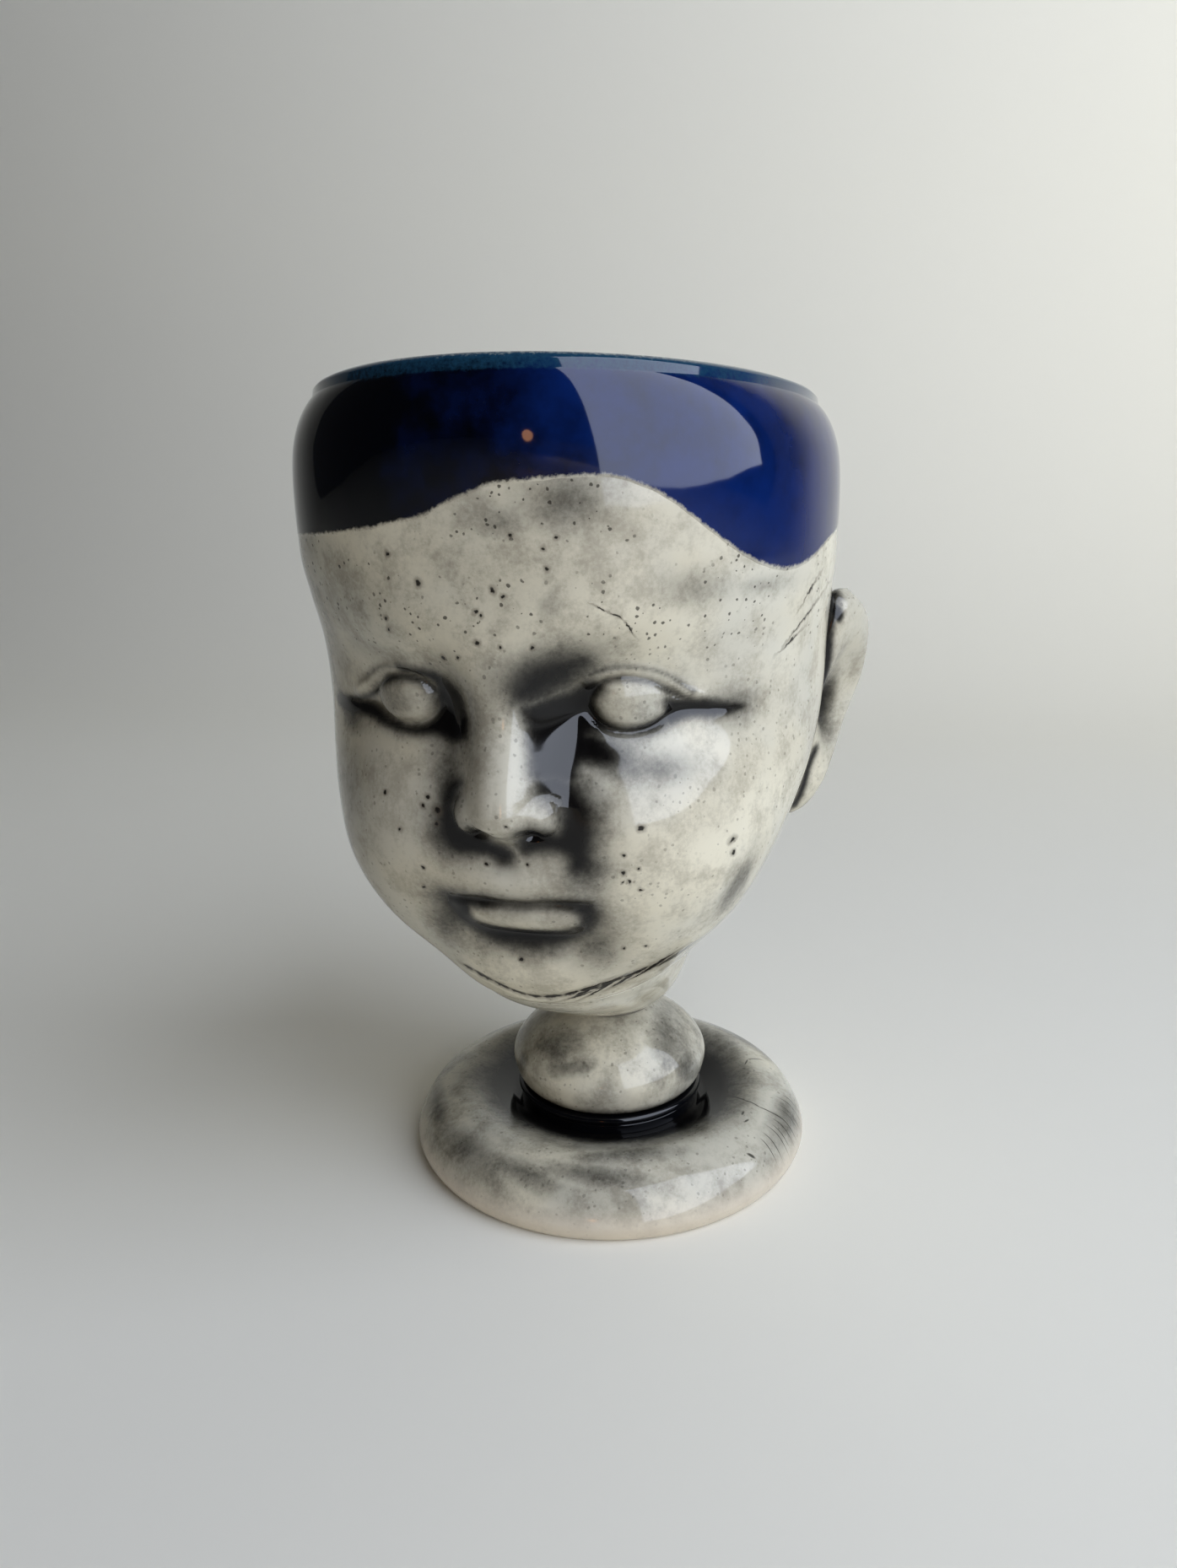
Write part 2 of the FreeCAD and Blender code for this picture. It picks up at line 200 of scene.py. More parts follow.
# %% Colour of the washed clay
def wash_colour(tree, where, smoke, stain, specks=1.0):
    """Clay under grey smoke and black wash, with sponged edges and specks."""
    sponge, grit, tone, cast, crowd = (
        add(tree, "TexNoise", {"Vector": where, "Scale": 1000 / size_mm, "Detail": detail, "Roughness": rough})
        for size_mm, detail, rough in (
            (7, 6.0, 0.62), (0.9, 4.0, 0.7), (24, 3.0, 0.5), (45, 2.0, 0.5), (13, 2.0, 0.5),
        )
    )
    mottle = add(tree, "Math", (grit, 0.4, sponge), operation="MULTIPLY_ADD")
    clay = "#d6d0ba"
    for value, start, end, most, colour in (
        (tone, 0.38, 0.64, 1.0, "#cdcaba"), (mottle, 0.62, 0.92, 0.50, "#8b8473"),
        (cast, 0.42, 0.62, 0.22, "#948b78"),
    ):
        amount = add(tree, "MapRange", (value, start, end, 0.0, most), **eased)
        clay = add(tree, "Mix", {"Factor": amount, "A": clay, "B": colour}, **of_colours)

    # how much clay shows, ragged only where it is neither bare nor covered
    bare = [add(tree, "Math", (1.0, cover), operation="SUBTRACT") for cover in (smoke, stain)]
    light = add(tree, "Math", bare, operation="MULTIPLY")
    dark = add(tree, "Math", (1.0, light), operation="SUBTRACT")
    between = add(tree, "Math", (light, dark), operation="MULTIPLY")
    ragged = add(tree, "Math", (between, -1.8), operation="MULTIPLY")
    uneven = add(tree, "Math", (grit, 0.6, sponge), operation="MULTIPLY_ADD")
    uneven = add(tree, "Math", (uneven, 0.8), operation="SUBTRACT")
    kept = add(tree, "Math", (uneven, ragged, light), operation="MULTIPLY_ADD")
    for step, number in (("MAXIMUM", 0.0), ("MINIMUM", 1.0), ("POWER", 2.0)):
        kept = add(tree, "Math", (kept, number), operation=step)
    inky = add(tree, "Mix", {"Factor": kept, "A": "#0b0a0a", "B": clay}, **of_colours)

    # specks crowd together in patches of about 13 mm, and more of them sit on the forehead
    height = add(tree, "SeparateXYZ", (where,), "Z")
    higher = add(tree, "MapRange", (height, 112 * MM, 124 * MM, 0.45, 1.0), **eased)
    amount = add(tree, "MapRange", (crowd, 0.37, 0.52), **eased)
    for factor in (higher, specks, speckles(tree, where), 0.8):
        amount = add(tree, "Math", (amount, factor), operation="MULTIPLY")
    return add(tree, "Mix", {"Factor": amount, "A": inky, "B": "#1d1813"}, **of_colours)


print("bare clay as linear light:", [round(v, 3) for v in hex_colour("#d6d0ba")])

# %% [markdown]
# ## One clear glaze over everything
# A fired glaze is a layer of glass. It is nearly smooth, so it mirrors the window sharply, and it is a little
# wavy over some 16 mm, because it ran in the kiln, so that mirror image has soft edges. Where it lies on
# rough wash the shine is duller in patches. A second layer of shader could stand for it, but one glossy
# shader with the colour seen through the glass looks the same and is quicker.

# %% Glaze over a colour
glaze_ior, glaze_mirror = 1.46, 0.30
wave_mm, haze_mm, wave_depth_mm = 16, 9, 2


def glazed(name, colour_of, roughness, ripple=0.08, haze=0.0):
    """A glossy glaze whose colour comes from a function of the tree and its Object coordinates."""
    material = bpy.data.materials.new(name)
    material.use_nodes = True
    tree = material.node_tree
    tree.nodes.clear()
    where = add(tree, "TexCoord", output="Object")
    waves = add(tree, "TexNoise", {"Vector": where, "Scale": 1000 / wave_mm, "Detail": 2.0})
    depth = wave_depth_mm * MM
    bump = add(tree, "Bump", {"Height": waves, "Strength": ripple, "Distance": depth}, "Normal")
    shine = roughness
    if haze:
        patches = add(tree, "TexNoise", {"Vector": where, "Scale": 1000 / haze_mm, "Detail": 4.0})
        shine = add(tree, "MapRange", (patches, 0.35, 0.7, roughness, roughness + haze), **eased)
    look = {"Base Color": colour_of(tree, where), "Normal": bump, "Roughness": shine}
    shader = add(tree, "BsdfPrincipled", look | {"IOR": glaze_ior, "Specular IOR Level": glaze_mirror})
    add(tree, "OutputMaterial", {"Surface": shader}, None)
    return material


print("glaze: index of refraction", glaze_ior, "and waves about", wave_mm, "mm long")

# %% [markdown]
# ## Marks seen on the face
# Some specks and pen-like strokes are large enough to be told apart on the photograph: the pinholes on the
# forehead and cheeks, three ticks at the temple, a scratched line with hatching under the chin. They are
# drawn one by one. Each mark is a stretched ball round its place, and the ball's inside is the mark, so it
# needs no unwrapped picture.

# %% Places of the marks
# across, up, half-length, half-width in mm and tilt in degrees
marks = (
    (-17.3, 135.0, 0.5, 0.5, 0), (-12.0, 130.5, 0.75, 0.75, 0), (0.4, 129.6, 0.6, 0.6, 0),
    (2.0, 128.5, 0.5, 0.5, 0),
    (-2.6, 126.2, 0.5, 0.4, 30), (-1.7, 125.6, 0.4, 0.4, 0), (-19.2, 124.5, 0.45, 0.45, 0),
    (-19.2, 122.5, 0.5, 0.5, 0),
    (-2.8, 121.3, 0.6, 0.5, 0), (-6.5, 118.5, 0.45, 0.4, 0), (-9.7, 118.3, 0.5, 0.5, 0),
    (1.0, 120.6, 0.45, 0.45, 0),
    (6.0, 120.6, 0.4, 0.4, 0), (8.8, 136.0, 0.45, 0.45, 0), (4.0, 138.0, 0.4, 0.4, 0),
    (10.8, 137.5, 0.4, 0.4, 0),
    (9.0, 132.8, 0.5, 0.5, 0), (22.0, 90.0, 0.7, 0.7, 0), (19.2, 85.3, 0.45, 0.45, 0),
    (19.0, 82.0, 0.5, 0.5, 0),
    (21.5, 82.6, 0.35, 0.35, 0), (19.8, 80.3, 0.4, 0.4, 0), (18.8, 80.2, 0.3, 0.3, 0),
    (21.6, 78.5, 0.4, 0.4, 0),
    (17.5, 65.2, 0.4, 0.4, 0), (21.2, 65.3, 0.4, 0.4, 0), (35.8, 85.0, 0.7, 0.5, 60),
    (36.0, 82.5, 0.6, 0.4, 90),
    (-23.3, 93.6, 0.45, 0.45, 0), (-14.5, 94.1, 0.5, 0.5, 0), (-15.4, 92.4, 0.45, 0.45, 0),
    (-12.7, 91.9, 0.8, 0.8, 0),
    (-12.8, 89.5, 0.45, 0.45, 0), (-20.3, 87.6, 0.45, 0.45, 0), (-16.3, 81.0, 0.4, 0.4, 0),
    (-17.0, 76.7, 0.4, 0.4, 0),
    (-4.0, 83.0, 0.4, 0.4, 0), (3.2, 83.4, 0.4, 0.4, 0), (1.9, 92.2, 0.35, 0.35, 0),
    (-1.0, 62.3, 0.45, 0.45, 0),
    (16.8, 126.6, 1.4, 0.16, -30), (19.0, 125.4, 1.3, 0.18, -30), (20.7, 123.4, 1.5, 0.16, -65),
    (46.0, 121.0, 5.0, 0.20, 53), (44.0, 117.6, 2.4, 0.20, 42), (47.0, 126.0, 3.0, 0.16, 60),
)
chin_line = (
    (-14.0, 58.0), (-12.0, 57.0), (-8.0, 55.2), (-5.0, 53.7), (-2.0, 52.6), (1.0, 52.4), (5.0, 53.1),
    (8.0, 54.0), (12.0, 55.4), (16.0, 56.4), (20.0, 58.0),
)
hatches = tuple(
    (8.0 + 1.3 * k, 52.8 + 0.45 * k + 0.6 * (k % 3), 3.8 + (k % 2), 0.32 + 0.1 * (k % 3), 22 + 4 * (k % 4))
    for k in range(15)
)


def strokes(points, thick_mm):
    """Marks laid end to end along a line of points."""
    made = []
    for (ax, az), (bx, bz) in zip(points[:-1], points[1:]):
        length = math.hypot(bx - ax, bz - az)
        made.append(((ax + bx) / 2, (az + bz) / 2, 0.75 * length, thick_mm, math.degrees(math.atan2(bz - az,
            bx - ax))))
    return tuple(made)


face_marks = marks + strokes(chin_line, 0.75) + hatches
print("marks on the face:", len(face_marks))

# %% [markdown]
# ## Finishes of the head and the ears
# A chain of nodes measures how far each place is from the nearest mark, in which 1 is the mark's own edge.
# The face has all of its marks, with a brown halo of thin oxide round each one. The ears have only the fine
# specks. Both look glassy, and the glaze on the ears is hazier.

# %% Face and ear finishes
def nearest_mark(tree, where, listed, shift=0.0, ahead=-50.0, reach=60.0, seen_from="front"):
    """How far a place is from the nearest mark of a list, where 1 is that mark's edge."""
    nearest = 9.0
    for across_mm, up_mm, long_mm, thick_mm, tilt in listed:
        if seen_from == "front":
            spot = ((across_mm + shift) * MM, ahead * MM, up_mm * MM)
            turned = (0, -math.radians(tilt), 0)
            size = (long_mm * MM, reach * MM, thick_mm * MM)
        else:
            spot = (across_mm * MM, up_mm * MM, 0.01)
            turned = (0, 0, math.radians(tilt))
            size = (long_mm * MM, thick_mm * MM, 0.04)
        ball = {"Vector": where, "Location": spot, "Rotation": turned, "Scale": size}
        local = add(tree, "Mapping", ball, vector_type="TEXTURE")
        length = add(tree, "VectorMath", (local,), "Value", operation="LENGTH")
        nearest = add(tree, "Math", (nearest, length), operation="MINIMUM")
    return nearest


def plain_colour(tree, where, specks=0.5):
    """Washed clay that reads its smoke and stain from the mesh."""
    smoke, stain = (add(tree, "Attribute", output="Fac", attribute_name=name) for name in ("smoke", "stain"))
    return wash_colour(tree, where, smoke, stain, specks)


def face_colour(tree, where):
    """Washed clay with the pinholes and strokes that were seen, each a little ragged."""
    colour = plain_colour(tree, where, 1.0)
    # noise of about 1.1 mm pushes each place by up to 0.45 mm, so no mark keeps a clean edge
    ragged = add(tree, "TexNoise", {"Vector": where, "Scale": 900.0, "Detail": 2.0}, "Color")
    nudge = add(tree, "VectorMath", (ragged, (0.5,) * 3), operation="SUBTRACT")
    nudged = add(tree, "VectorMath", (nudge, (0.9 * MM,) * 3, where), operation="MULTIPLY_ADD")
    nearest = nearest_mark(tree, nudged, face_marks, centre_x)
    for start, end, most, ink in ((0.7, 1.9, 0.45, "#4a4034"), (0.45, 0.85, 0.95, "#120e0b")):
        amount = add(tree, "MapRange", (nearest, start, end, most, 0.0), **eased)
        colour = add(tree, "Mix", {"Factor": amount, "A": colour, "B": ink}, **of_colours)
    return colour


washed_cream = glazed("clear_glaze_on_washed_clay", face_colour, 0.06, 0.05, 0.04)
washed_plain = glazed("clear_glaze_on_ears", plain_colour, 0.08, 0.05, 0.12)
print("face finish:", len(washed_cream.node_tree.nodes), "nodes")

# %% [markdown]
# ## Cobalt blue glaze
# Cobalt oxide in a thick glaze gives a blue so deep that it looks black, and here it is mixed to a clearer blue
# toward the right. Over the sharp edge of the rim it breaks to grey-green, and at its lower edge it fades
# into the clay within a millimetre. The depth could be left to light that passes through a thick coat, but
# mixing by a thickness kept on the mesh is quicker and can be steered.

# %% Cobalt glaze
def cobalt_colour(tree, where):
    """Deep blue that is nearly black where it lies thick, and grey-green where it runs thin."""
    cloud, grit, fleck = (
        add(tree, "TexNoise", {"Vector": where, "Scale": 1000 / size_mm, "Detail": detail, "Roughness": rough})
        for size_mm, detail, rough in ((22, 4.0, 0.5), (0.8, 3.0, 0.7), (5, 3.0, 0.6))
    )
    thin, fade = (add(tree, "Attribute", output="Fac", attribute_name=name) for name in ("thin", "fade"))
    sideways = add(tree, "SeparateXYZ", (where,), "X")
    bluer = add(tree, "MapRange", (sideways, -42 * MM, 34 * MM), **eased)
    bluer = add(tree, "Math", (bluer, 0.75, cloud), operation="MULTIPLY_ADD")
    bluer = add(tree, "Math", (fleck, 0.55, bluer), operation="MULTIPLY_ADD")
    uneven = add(tree, "Math", (grit, 0.5), operation="SUBTRACT")
    thin = add(tree, "Math", (uneven, 0.9, thin), operation="MULTIPLY_ADD")
    fade = add(tree, "Math", (uneven, 1.2, fade), operation="MULTIPLY_ADD")
    colour = "#010207"
    for value, start, end, next_colour in (
        (bluer, 0.98, 1.72, "#061d52"), (thin, 0.15, 0.75, "#16384e"), (thin, 0.75, 1.15, "#8d968f"),
        (fade, 0.25, 0.95, wash_colour(tree, where, 0.12, 0.0)),
    ):
        amount = add(tree, "MapRange", (value, start, end), **eased)
        colour = add(tree, "Mix", {"Factor": amount, "A": colour, "B": next_colour}, **of_colours)
    return colour


cobalt = glazed("cobalt_glaze", cobalt_colour, 0.05, 0.05)
print("cobalt finish:", len(cobalt.node_tree.nodes), "nodes")

# %% [markdown]
# ## Black glaze and slip
# The collar carries a black gloss glaze: almost no colour of its own, so that the eye sees only its
# highlights. The joint above the knob is a line of thin clay slip, matt and grey, which the wash has darkened
# unevenly. Both are two colours mixed by one noise, of 5 mm on the collar and of 2.5 mm in the slip.

# %% Black glaze and joint slip
def black_colour(tree, where):
    """Two near blacks, in clouds of 5 mm."""
    cloud = add(tree, "TexNoise", {"Vector": where, "Scale": 1000 / 5, "Detail": 3.0})
    return add(tree, "Mix", {"Factor": cloud, "A": "#030304", "B": "#0b0c10"}, **of_colours)


def slip_colour(tree, where):
    """Grey and buff, in clouds of 2.5 mm."""
    cloud = add(tree, "TexNoise", {"Vector": where, "Scale": 1000 / 2.5, "Detail": 3.0})
    return add(tree, "Mix", {"Factor": cloud, "A": "#3b3a38", "B": "#8a8474"}, **of_colours)


black_gloss = glazed("black_gloss_glaze", black_colour, 0.07)
joint_slip = glazed("joint_slip", slip_colour, 0.45)
print("materials:", [m.name for m in bpy.data.materials])

# %% [markdown]
# ## The head's plain form
# A cast head is smooth, so its sections from the neck to the rim are squared ovals that change slowly. Each
# row below gives, as shares of the head's sizes, the height at the front and at the back, the half-width, the
# reach forward and backward, and how square the oval is. The face comes later as small moves of this form.

# %% Sections of the head
head_seat, head_height, half_width, front_reach, back_reach = 49.5, 112.4, 51.0, 58.9, 54.0
head_sections = np.array((
    (0.000, 0.057, 0.482, 0.574, 0.630, 2.00),
    (0.018, 0.079, 0.529, 0.618, 0.704, 2.05),
    (0.075, 0.127, 0.625, 0.683, 0.796, 2.30),
    (0.154, 0.180, 0.729, 0.740, 0.889, 3.00),
    (0.241, 0.241, 0.818, 0.812, 0.926, 2.95),
    (0.338, 0.338, 0.902, 0.856, 0.944, 2.35),
    (0.417, 0.417, 0.945, 0.862, 0.967, 2.05),
    (0.504, 0.504, 0.967, 0.866, 0.981, 1.88),
    (0.601, 0.601, 0.975, 0.898, 1.000, 1.90),
    (0.684, 0.671, 0.990, 0.935, 1.000, 2.02),
    (0.764, 0.737, 1.000, 0.969, 1.000, 2.10),
    (0.920, 0.863, 0.986, 1.000, 0.981, 2.05),
    (1.000, 0.928, 0.904, 0.980, 0.944, 1.96),
))
print("head stands from z", head_seat, "to", head_seat + head_height, "mm")

# %% [markdown]
# ## Smooth curves through a table
# Straight steps between the sections would show as bands in the glossy glaze. A cubic between two rows, which
# takes its slope from the rows on both sides, has no such corners and still passes through every row.

# %% Curves between rows
def smooth_along(table, t):
    """Values at t, from 0 to 1, on smooth curves through a table's evenly spaced rows."""
    table, t = np.asarray(table, dtype=float), np.asarray(t, dtype=float)
    last = len(table) - 1
    place = np.clip(t, 0, 1) * last
    i = np.minimum(place.astype(int), last - 1)
    f = (place - i).reshape(t.shape + (1,) * (table.ndim - 1))
    before, a, b, after = (table[np.clip(i + k, 0, last)] for k in (-1, 0, 1, 2))
    slope_a, slope_b, rise = (b - before) / 2, (after - a) / 2, b - a
    return a + f * (slope_a + f * ((3 * rise - 2 * slope_a - slope_b) + f * (slope_a + slope_b - 2 * rise)))


def signed_power(value, exponent):
    """A power that keeps its sign, which squares an oval off."""
    return np.sign(value) * np.abs(value) ** exponent


print("section half-way up:", smooth_along(head_sections, 0.5).round(3))

# %% [markdown]
# ## A point on the plain head
# With the sections in hand, any place on the head is one share t of the way from neck to rim and one angle
# from the front. The loops are tilted, higher at the front near the neck and lower there at the rim, as the
# sections say. The rows stand closest over the face, and the columns are denser at the front, where the
# features are.

# %% Plain head
def head_base(t, angle, inset=0.0):
    """Points of the plain head at t from neck to rim and an angle from the front; both are arrays."""
    low, high, wide, front, back, square = np.moveaxis(smooth_along(head_sections, t), -1, 0)
    low, high = head_seat + head_height * low, head_seat + head_height * high
    # a little rounder between the last two of the thirteen sections, where the head turns in to the rim
    near_rim = np.clip(12 * np.asarray(t) - 11, 0, 1)
    rounder = near_rim ** 2 * (1 - near_rim)
    wide, front, back = wide + 0.06 * rounder, front + 0.03 * rounder, back + 0.04 * rounder
    wide, front, back = half_width * wide, front_reach * front, back_reach * back
    ahead = signed_power(np.cos(angle), 2 / square)
    reach = np.where(ahead > 0, front, back) - inset
    x = (wide - inset) * signed_power(np.sin(angle), 2 / square)
    y = -reach * ahead
    z = high + (low - high) / (front + back) * (back - y)
    return np.stack([centre_x + x, centre_y + y, z], axis=-1)


columns_round = 392
even = np.linspace(-math.pi, math.pi, columns_round, endpoint=False)
angles = even - 0.6 * np.sin(even)
neck_rows, face_rows = np.linspace(0, 0.25, 45, endpoint=False), np.linspace(0.25, 0.667, 125, endpoint=False)
levels = np.concatenate([neck_rows, face_rows, np.linspace(0.667, 1, 62)])
print("head net:", len(levels), "rows of", columns_round, "points")

# %% [markdown]
# ## The face
# A carver works a face from the big forms to the small: nose and sockets, then lips and lids, then creases.
# Each feature here is a swelling or a hollow in millimetres at a place across and up the face. Rounded ones
# use a bell curve, an eyeball uses part of an ellipse, and a crease follows a line of points.

# %% Shapes that a feature can have
def bell(x, z, across, up, wide, tall, tilt=0.0):
    """A rounded swelling of height 1."""
    c, s = math.cos(math.radians(tilt)), math.sin(math.radians(tilt))
    dx, dz = x - across, z - up
    return np.exp(-((c * dx + s * dz) / wide) ** 2 - ((c * dz - s * dx) / tall) ** 2)


def dome(x, z, across, up, wide, tall, crispness=0.55):
    """Part of an ellipsoid of height 1, with a clear edge."""
    inside = 1 - ((x - across) / wide) ** 2 - ((z - up) / tall) ** 2
    return np.maximum(inside, 0) ** crispness


def line_distance(x, z, points):
    """Distance in mm from a smooth line through points, and the share of its length there."""
    path = smooth_along(points, np.linspace(0, 1, 12 * len(points)))
    near, share = np.full(x.shape, 1e6), np.zeros(x.shape)
    for k, (start, end) in enumerate(zip(path[:-1], path[1:])):
        step = end - start
        f = np.clip(((x - start[0]) * step[0] + (z - start[1]) * step[1]) / max(step @ step, 1e-9), 0, 1)
        d = np.hypot(x - start[0] - f * step[0], z - start[1] - f * step[1])
        share = np.where(d < near, (k + f) / (len(path) - 1), share)
        near = np.minimum(near, d)
    return near, share


def crease(x, z, points, width):
    """A rounded line of height 1 that fades at both ends."""
    near, share = line_distance(x, z, points)
    return np.exp(-(near / width) ** 2) * np.clip(8 * share, 0, 1) ** 0.7 * np.clip(8 * (1 - share),
        0, 1) ** 0.7


print("a bell at its middle:", bell(0.0, 0.0, 0.0, 0.0, 5.0, 5.0))

# %% [markdown]
# ## Nose
# The nose is a short ridge that stands out most just above its tip and fades into the brow, with a round wing
# on each side and a hollow for each nostril. Rows of numbers give how far the ridge stands out and how wide
# it is at each height, so its profile is drawn as the photograph shows it.

# %% Nose
nose_levels = np.array((
    84.6, 86.8, 88.4, 89.6, 91.2, 93.5, 96.0, 99.5, 103.0, 107.0, 111.0, 116.0, 122.0, 130.0,
))
nose_stands = np.array((0.0, 0.8, 2.8, 5.4, 7.4, 8.0, 7.7, 6.8, 5.5, 4.3, 3.4, 2.4, 1.2, 0.0))
nose_widths = np.array((5.0, 5.0, 5.4, 5.9, 6.3, 6.7, 6.7, 6.5, 6.6, 7.0, 7.6, 8.5, 10.0, 12.0))


def nose(x, z):
    """The ridge from brow to tip, with the two wings beside the tip."""
    side = np.abs(x)
    stand = np.interp(z, nose_levels, nose_stands)
    wide = np.interp(z, nose_levels, nose_widths)
    ridge = stand * np.exp(-(side / wide) ** 2.6)
    wings = 4.6 * dome(side, z, 6.0, 92.4, 3.3, 4.0)
    form = (ridge ** 4 + wings ** 4) ** 0.25
    return form - 2.5 * bell(side, z, 4.0, 89.2, 2.2, 1.3)


print("nose stands out", nose_stands.max(), "mm at z", nose_levels[nose_stands.argmax()])

# %% [markdown]
# ## Eyes, brows and cheeks
# The doll's eyes are blank balls that sit in soft sockets between two thin lids, and they are the same on
# both sides, so the formulas work on the distance from the middle. Lids and their folds are creases along
# lines of points. The rest are wide swellings that catch light on the brows and the cheeks.

# %% Eyes, brows and cheeks
upper_lid = (
    (12.6, 113.4), (16.2, 115.4), (20.0, 115.8), (24.0, 114.8), (27.0, 112.9), (29.8, 110.6), (33.0, 109.2),
)
lid_fold = ((13.0, 115.0), (16.5, 116.7), (20.0, 117.0), (24.0, 116.1), (27.0, 114.4), (30.0, 111.8))
lid_edge = (
    (13.8, 111.8), (16.4, 114.1), (20.0, 114.6), (23.5, 113.7), (26.2, 111.9), (28.6, 110.3), (32.0, 109.0),
)
lower_edge = (
    (12.4, 109.6), (14.8, 107.2), (17.4, 106.0), (20.4, 105.5), (23.4, 105.9), (26.0, 107.2), (29.0, 108.2),
    (35.0, 107.8),
)
lower_lid = ((14.0, 104.0), (17.5, 102.9), (20.5, 102.8), (24.0, 103.6), (27.0, 105.2))


def eyes(x, z):
    """Sockets, blank eyeballs and lids, the same on both sides."""
    side = np.abs(x)
    form = -2.6 * bell(side, z, 20, 110.5, 13, 8.5) - 2.4 * bell(side, z, 10.5, 109, 4.6, 6.5)
    form += 3.0 * dome(side, z, 20.2, 110.1, 6.5, 4.9, 0.75)
    form += 0.7 * crease(side, z, upper_lid, 1.3) - 0.35 * crease(side, z, lid_fold, 1.1)
    form += -0.6 * crease(side, z, lid_edge, 0.6) - 0.8 * crease(side, z, lower_edge, 0.9)
    form += 0.5 * crease(side, z, lower_lid, 1.8)
    form += 1.4 * bell(side, z, 19, 124, 14, 6) + 1.8 * bell(side, z, 24, 91, 13, 11)
    return form


print("eyeball stands out", round(float(eyes(np.array(20.2), np.array(110.1))), 2), "mm from the face")

# %% [markdown]
# ## Mouth and chin
# The mouth is small and a little to the doll's left of the middle, with a full lower lip and a narrow
# parting. Muzzle and lips are swellings, one crease parts the lips, and another is the scratched line under
# the chin.

# %% Mouth and chin
parting = ((-13.0, 75.0), (-7.0, 75.6), (-1.5, 75.0), (3.0, 75.2), (8.0, 75.6), (13.4, 74.8))


def mouth(x, z):
    """Muzzle, lips, their parting, the hollow below and the chin."""
    form = 1.4 * bell(x, z, 0, 78, 17, 10) + 1.5 * bell(x, z, 0.5, 79.6, 11, 3.4)
    form += 2.0 * dome(x, z, 1.2, 71.7, 12.0, 4.0, 1.6) - 0.9 * crease(x, z, parting, 0.9)
    form += -1.3 * bell(x, z, 0.5, 67.4, 11.5, 2.3) - 1.3 * bell(np.abs(x), z, 13.6, 73.5, 2.4, 4.0)
    form += -0.4 * bell(x, z, 0, 83, 1.8, 3) + 1.6 * bell(x, z, 0, 58.5, 11, 5)
    form -= 0.6 * crease(x, z, chin_line, 0.8)
    return form


def face_relief(x, z):
    """How far the face stands out at a place across and up, in mm."""
    return nose(x, z) + eyes(x, z) + mouth(x, z)


def head_outside(t, angle, offset=0.0):
    """The head's outside with its features; they push straight ahead at the nose and outward further round."""
    points = head_base(t, angle, -offset)
    x, z = points[..., 0] - centre_x, points[..., 2]
    turned = np.arctan2(x, centre_y - points[..., 1]) * np.clip((np.abs(x) - 8) / 10, 0, 1)
    push = face_relief(x, z) * np.clip(np.cos(angle), 0, 1) ** 0.5
    points[..., 0] += push * np.sin(turned)
    points[..., 1] -= push * np.cos(turned)
    return points


print("lower lip stands out", round(float(mouth(np.array(1.2), np.array(71.7))), 2), "mm from the face")

# %% [markdown]
# ## The shell of the head
# The cast shell has a wall of about 5 mm, a rounded rim and a smooth inside. The net runs up the outside,
# over the rim and down the inside to the floor, in one piece, as the clay does.

# %% Head shell
wall, rim_rise = 5.0, 1.6
floor_z = head_seat + 10.0
rim_moves = (
    (0.04, 0.45), (0.12, 0.80), (0.28, 1.12), (0.50, 1.25), (0.72, 1.12), (0.88, 0.80), (0.96, 0.45),
    (1.00, 0.00),
)


def rim_loop(inset, rise):
    """A loop over the rim; it leans in faster at the sides, where the head leans in too."""
    lean = 1 + 1.1 * np.sin(angles) ** 2 * max(0.0, 1 - inset / wall) * (inset > 0)
    return head_base(np.ones(columns_round), angles, inset * lean) + np.array((0, 0, rise))


front_line = head_base(np.linspace(0, 0.5, 400), np.zeros(400))[:, 2]
floor_t = float(np.interp(floor_z, front_line, np.linspace(0, 0.5, 400)))


def cup_inside(depth, offset=0.0):
    """A loop of the cup's inside at a depth from 0 at the rim to 1 at the flat of the floor."""
    points = head_base(np.full(columns_round, 1 - depth * (1 - floor_t)), angles, wall + offset)
    bend = max(0.0, 2 * depth - 1)
    shrink = 1 - 0.7 * bend ** 2.5
    points[:, 0] = centre_x + (points[:, 0] - centre_x) * shrink
    points[:, 1] = centre_y + (points[:, 1] - centre_y) * shrink
    points[:, 2] += (floor_z + offset - points[:, 2]) * bend ** 2
    return points


grid_t, grid_angle = np.meshgrid(levels, angles, indexing="ij")
outside = head_outside(grid_t, grid_angle)
outside[0] = head_base(np.zeros(columns_round), angles)
rim = [rim_loop(wall * inset, rim_rise * rise) for inset, rise in rim_moves]
inside = [cup_inside(depth) for depth in (0.15, 0.4, 0.6, 0.8, 1.0)]
head_mesh = net_mesh("head_shell", list(outside) + rim + inside)
head_shell = show("head_shell", head_mesh, washed_cream)
print("nose tip at", outside[:, :, 1].min().round(1), "mm")

# %% [markdown]
# ## Where the wash stays dark
# The black wash fills the creases of the lids, the corners of the eyes, the sides of the nose and the parting
# of the lips, and a paler smoke hangs round them. Both are painted here as lines and patches in the same
# places as the features that catch them, and are kept on the mesh as two numbers for each point. A few smoke
# spots are painted shade as well: those down the doll's right side of the nose, on top of the wash there, and
# the large one far out on the doll's right of the forehead.

# %% How wash lies round a line or a patch
def loop_distance(x, z, points):
    """Distance in mm from a smooth closed loop of points, less than 0 within it."""
    closed = np.array(points + points[:1], dtype=float)
    near, _ = line_distance(x, z, closed)
    path = smooth_along(closed, np.linspace(0, 1, 12 * len(closed)))
    within = np.zeros(x.shape, dtype=bool)
    for (ax, az), (bx, bz) in zip(path[:-1], path[1:]):
        if az != bz:
            within ^= ((az > z) != (bz > z)) & (x < (bx - ax) * (z - az) / (bz - az) + ax)
    return np.where(within, -near, near)


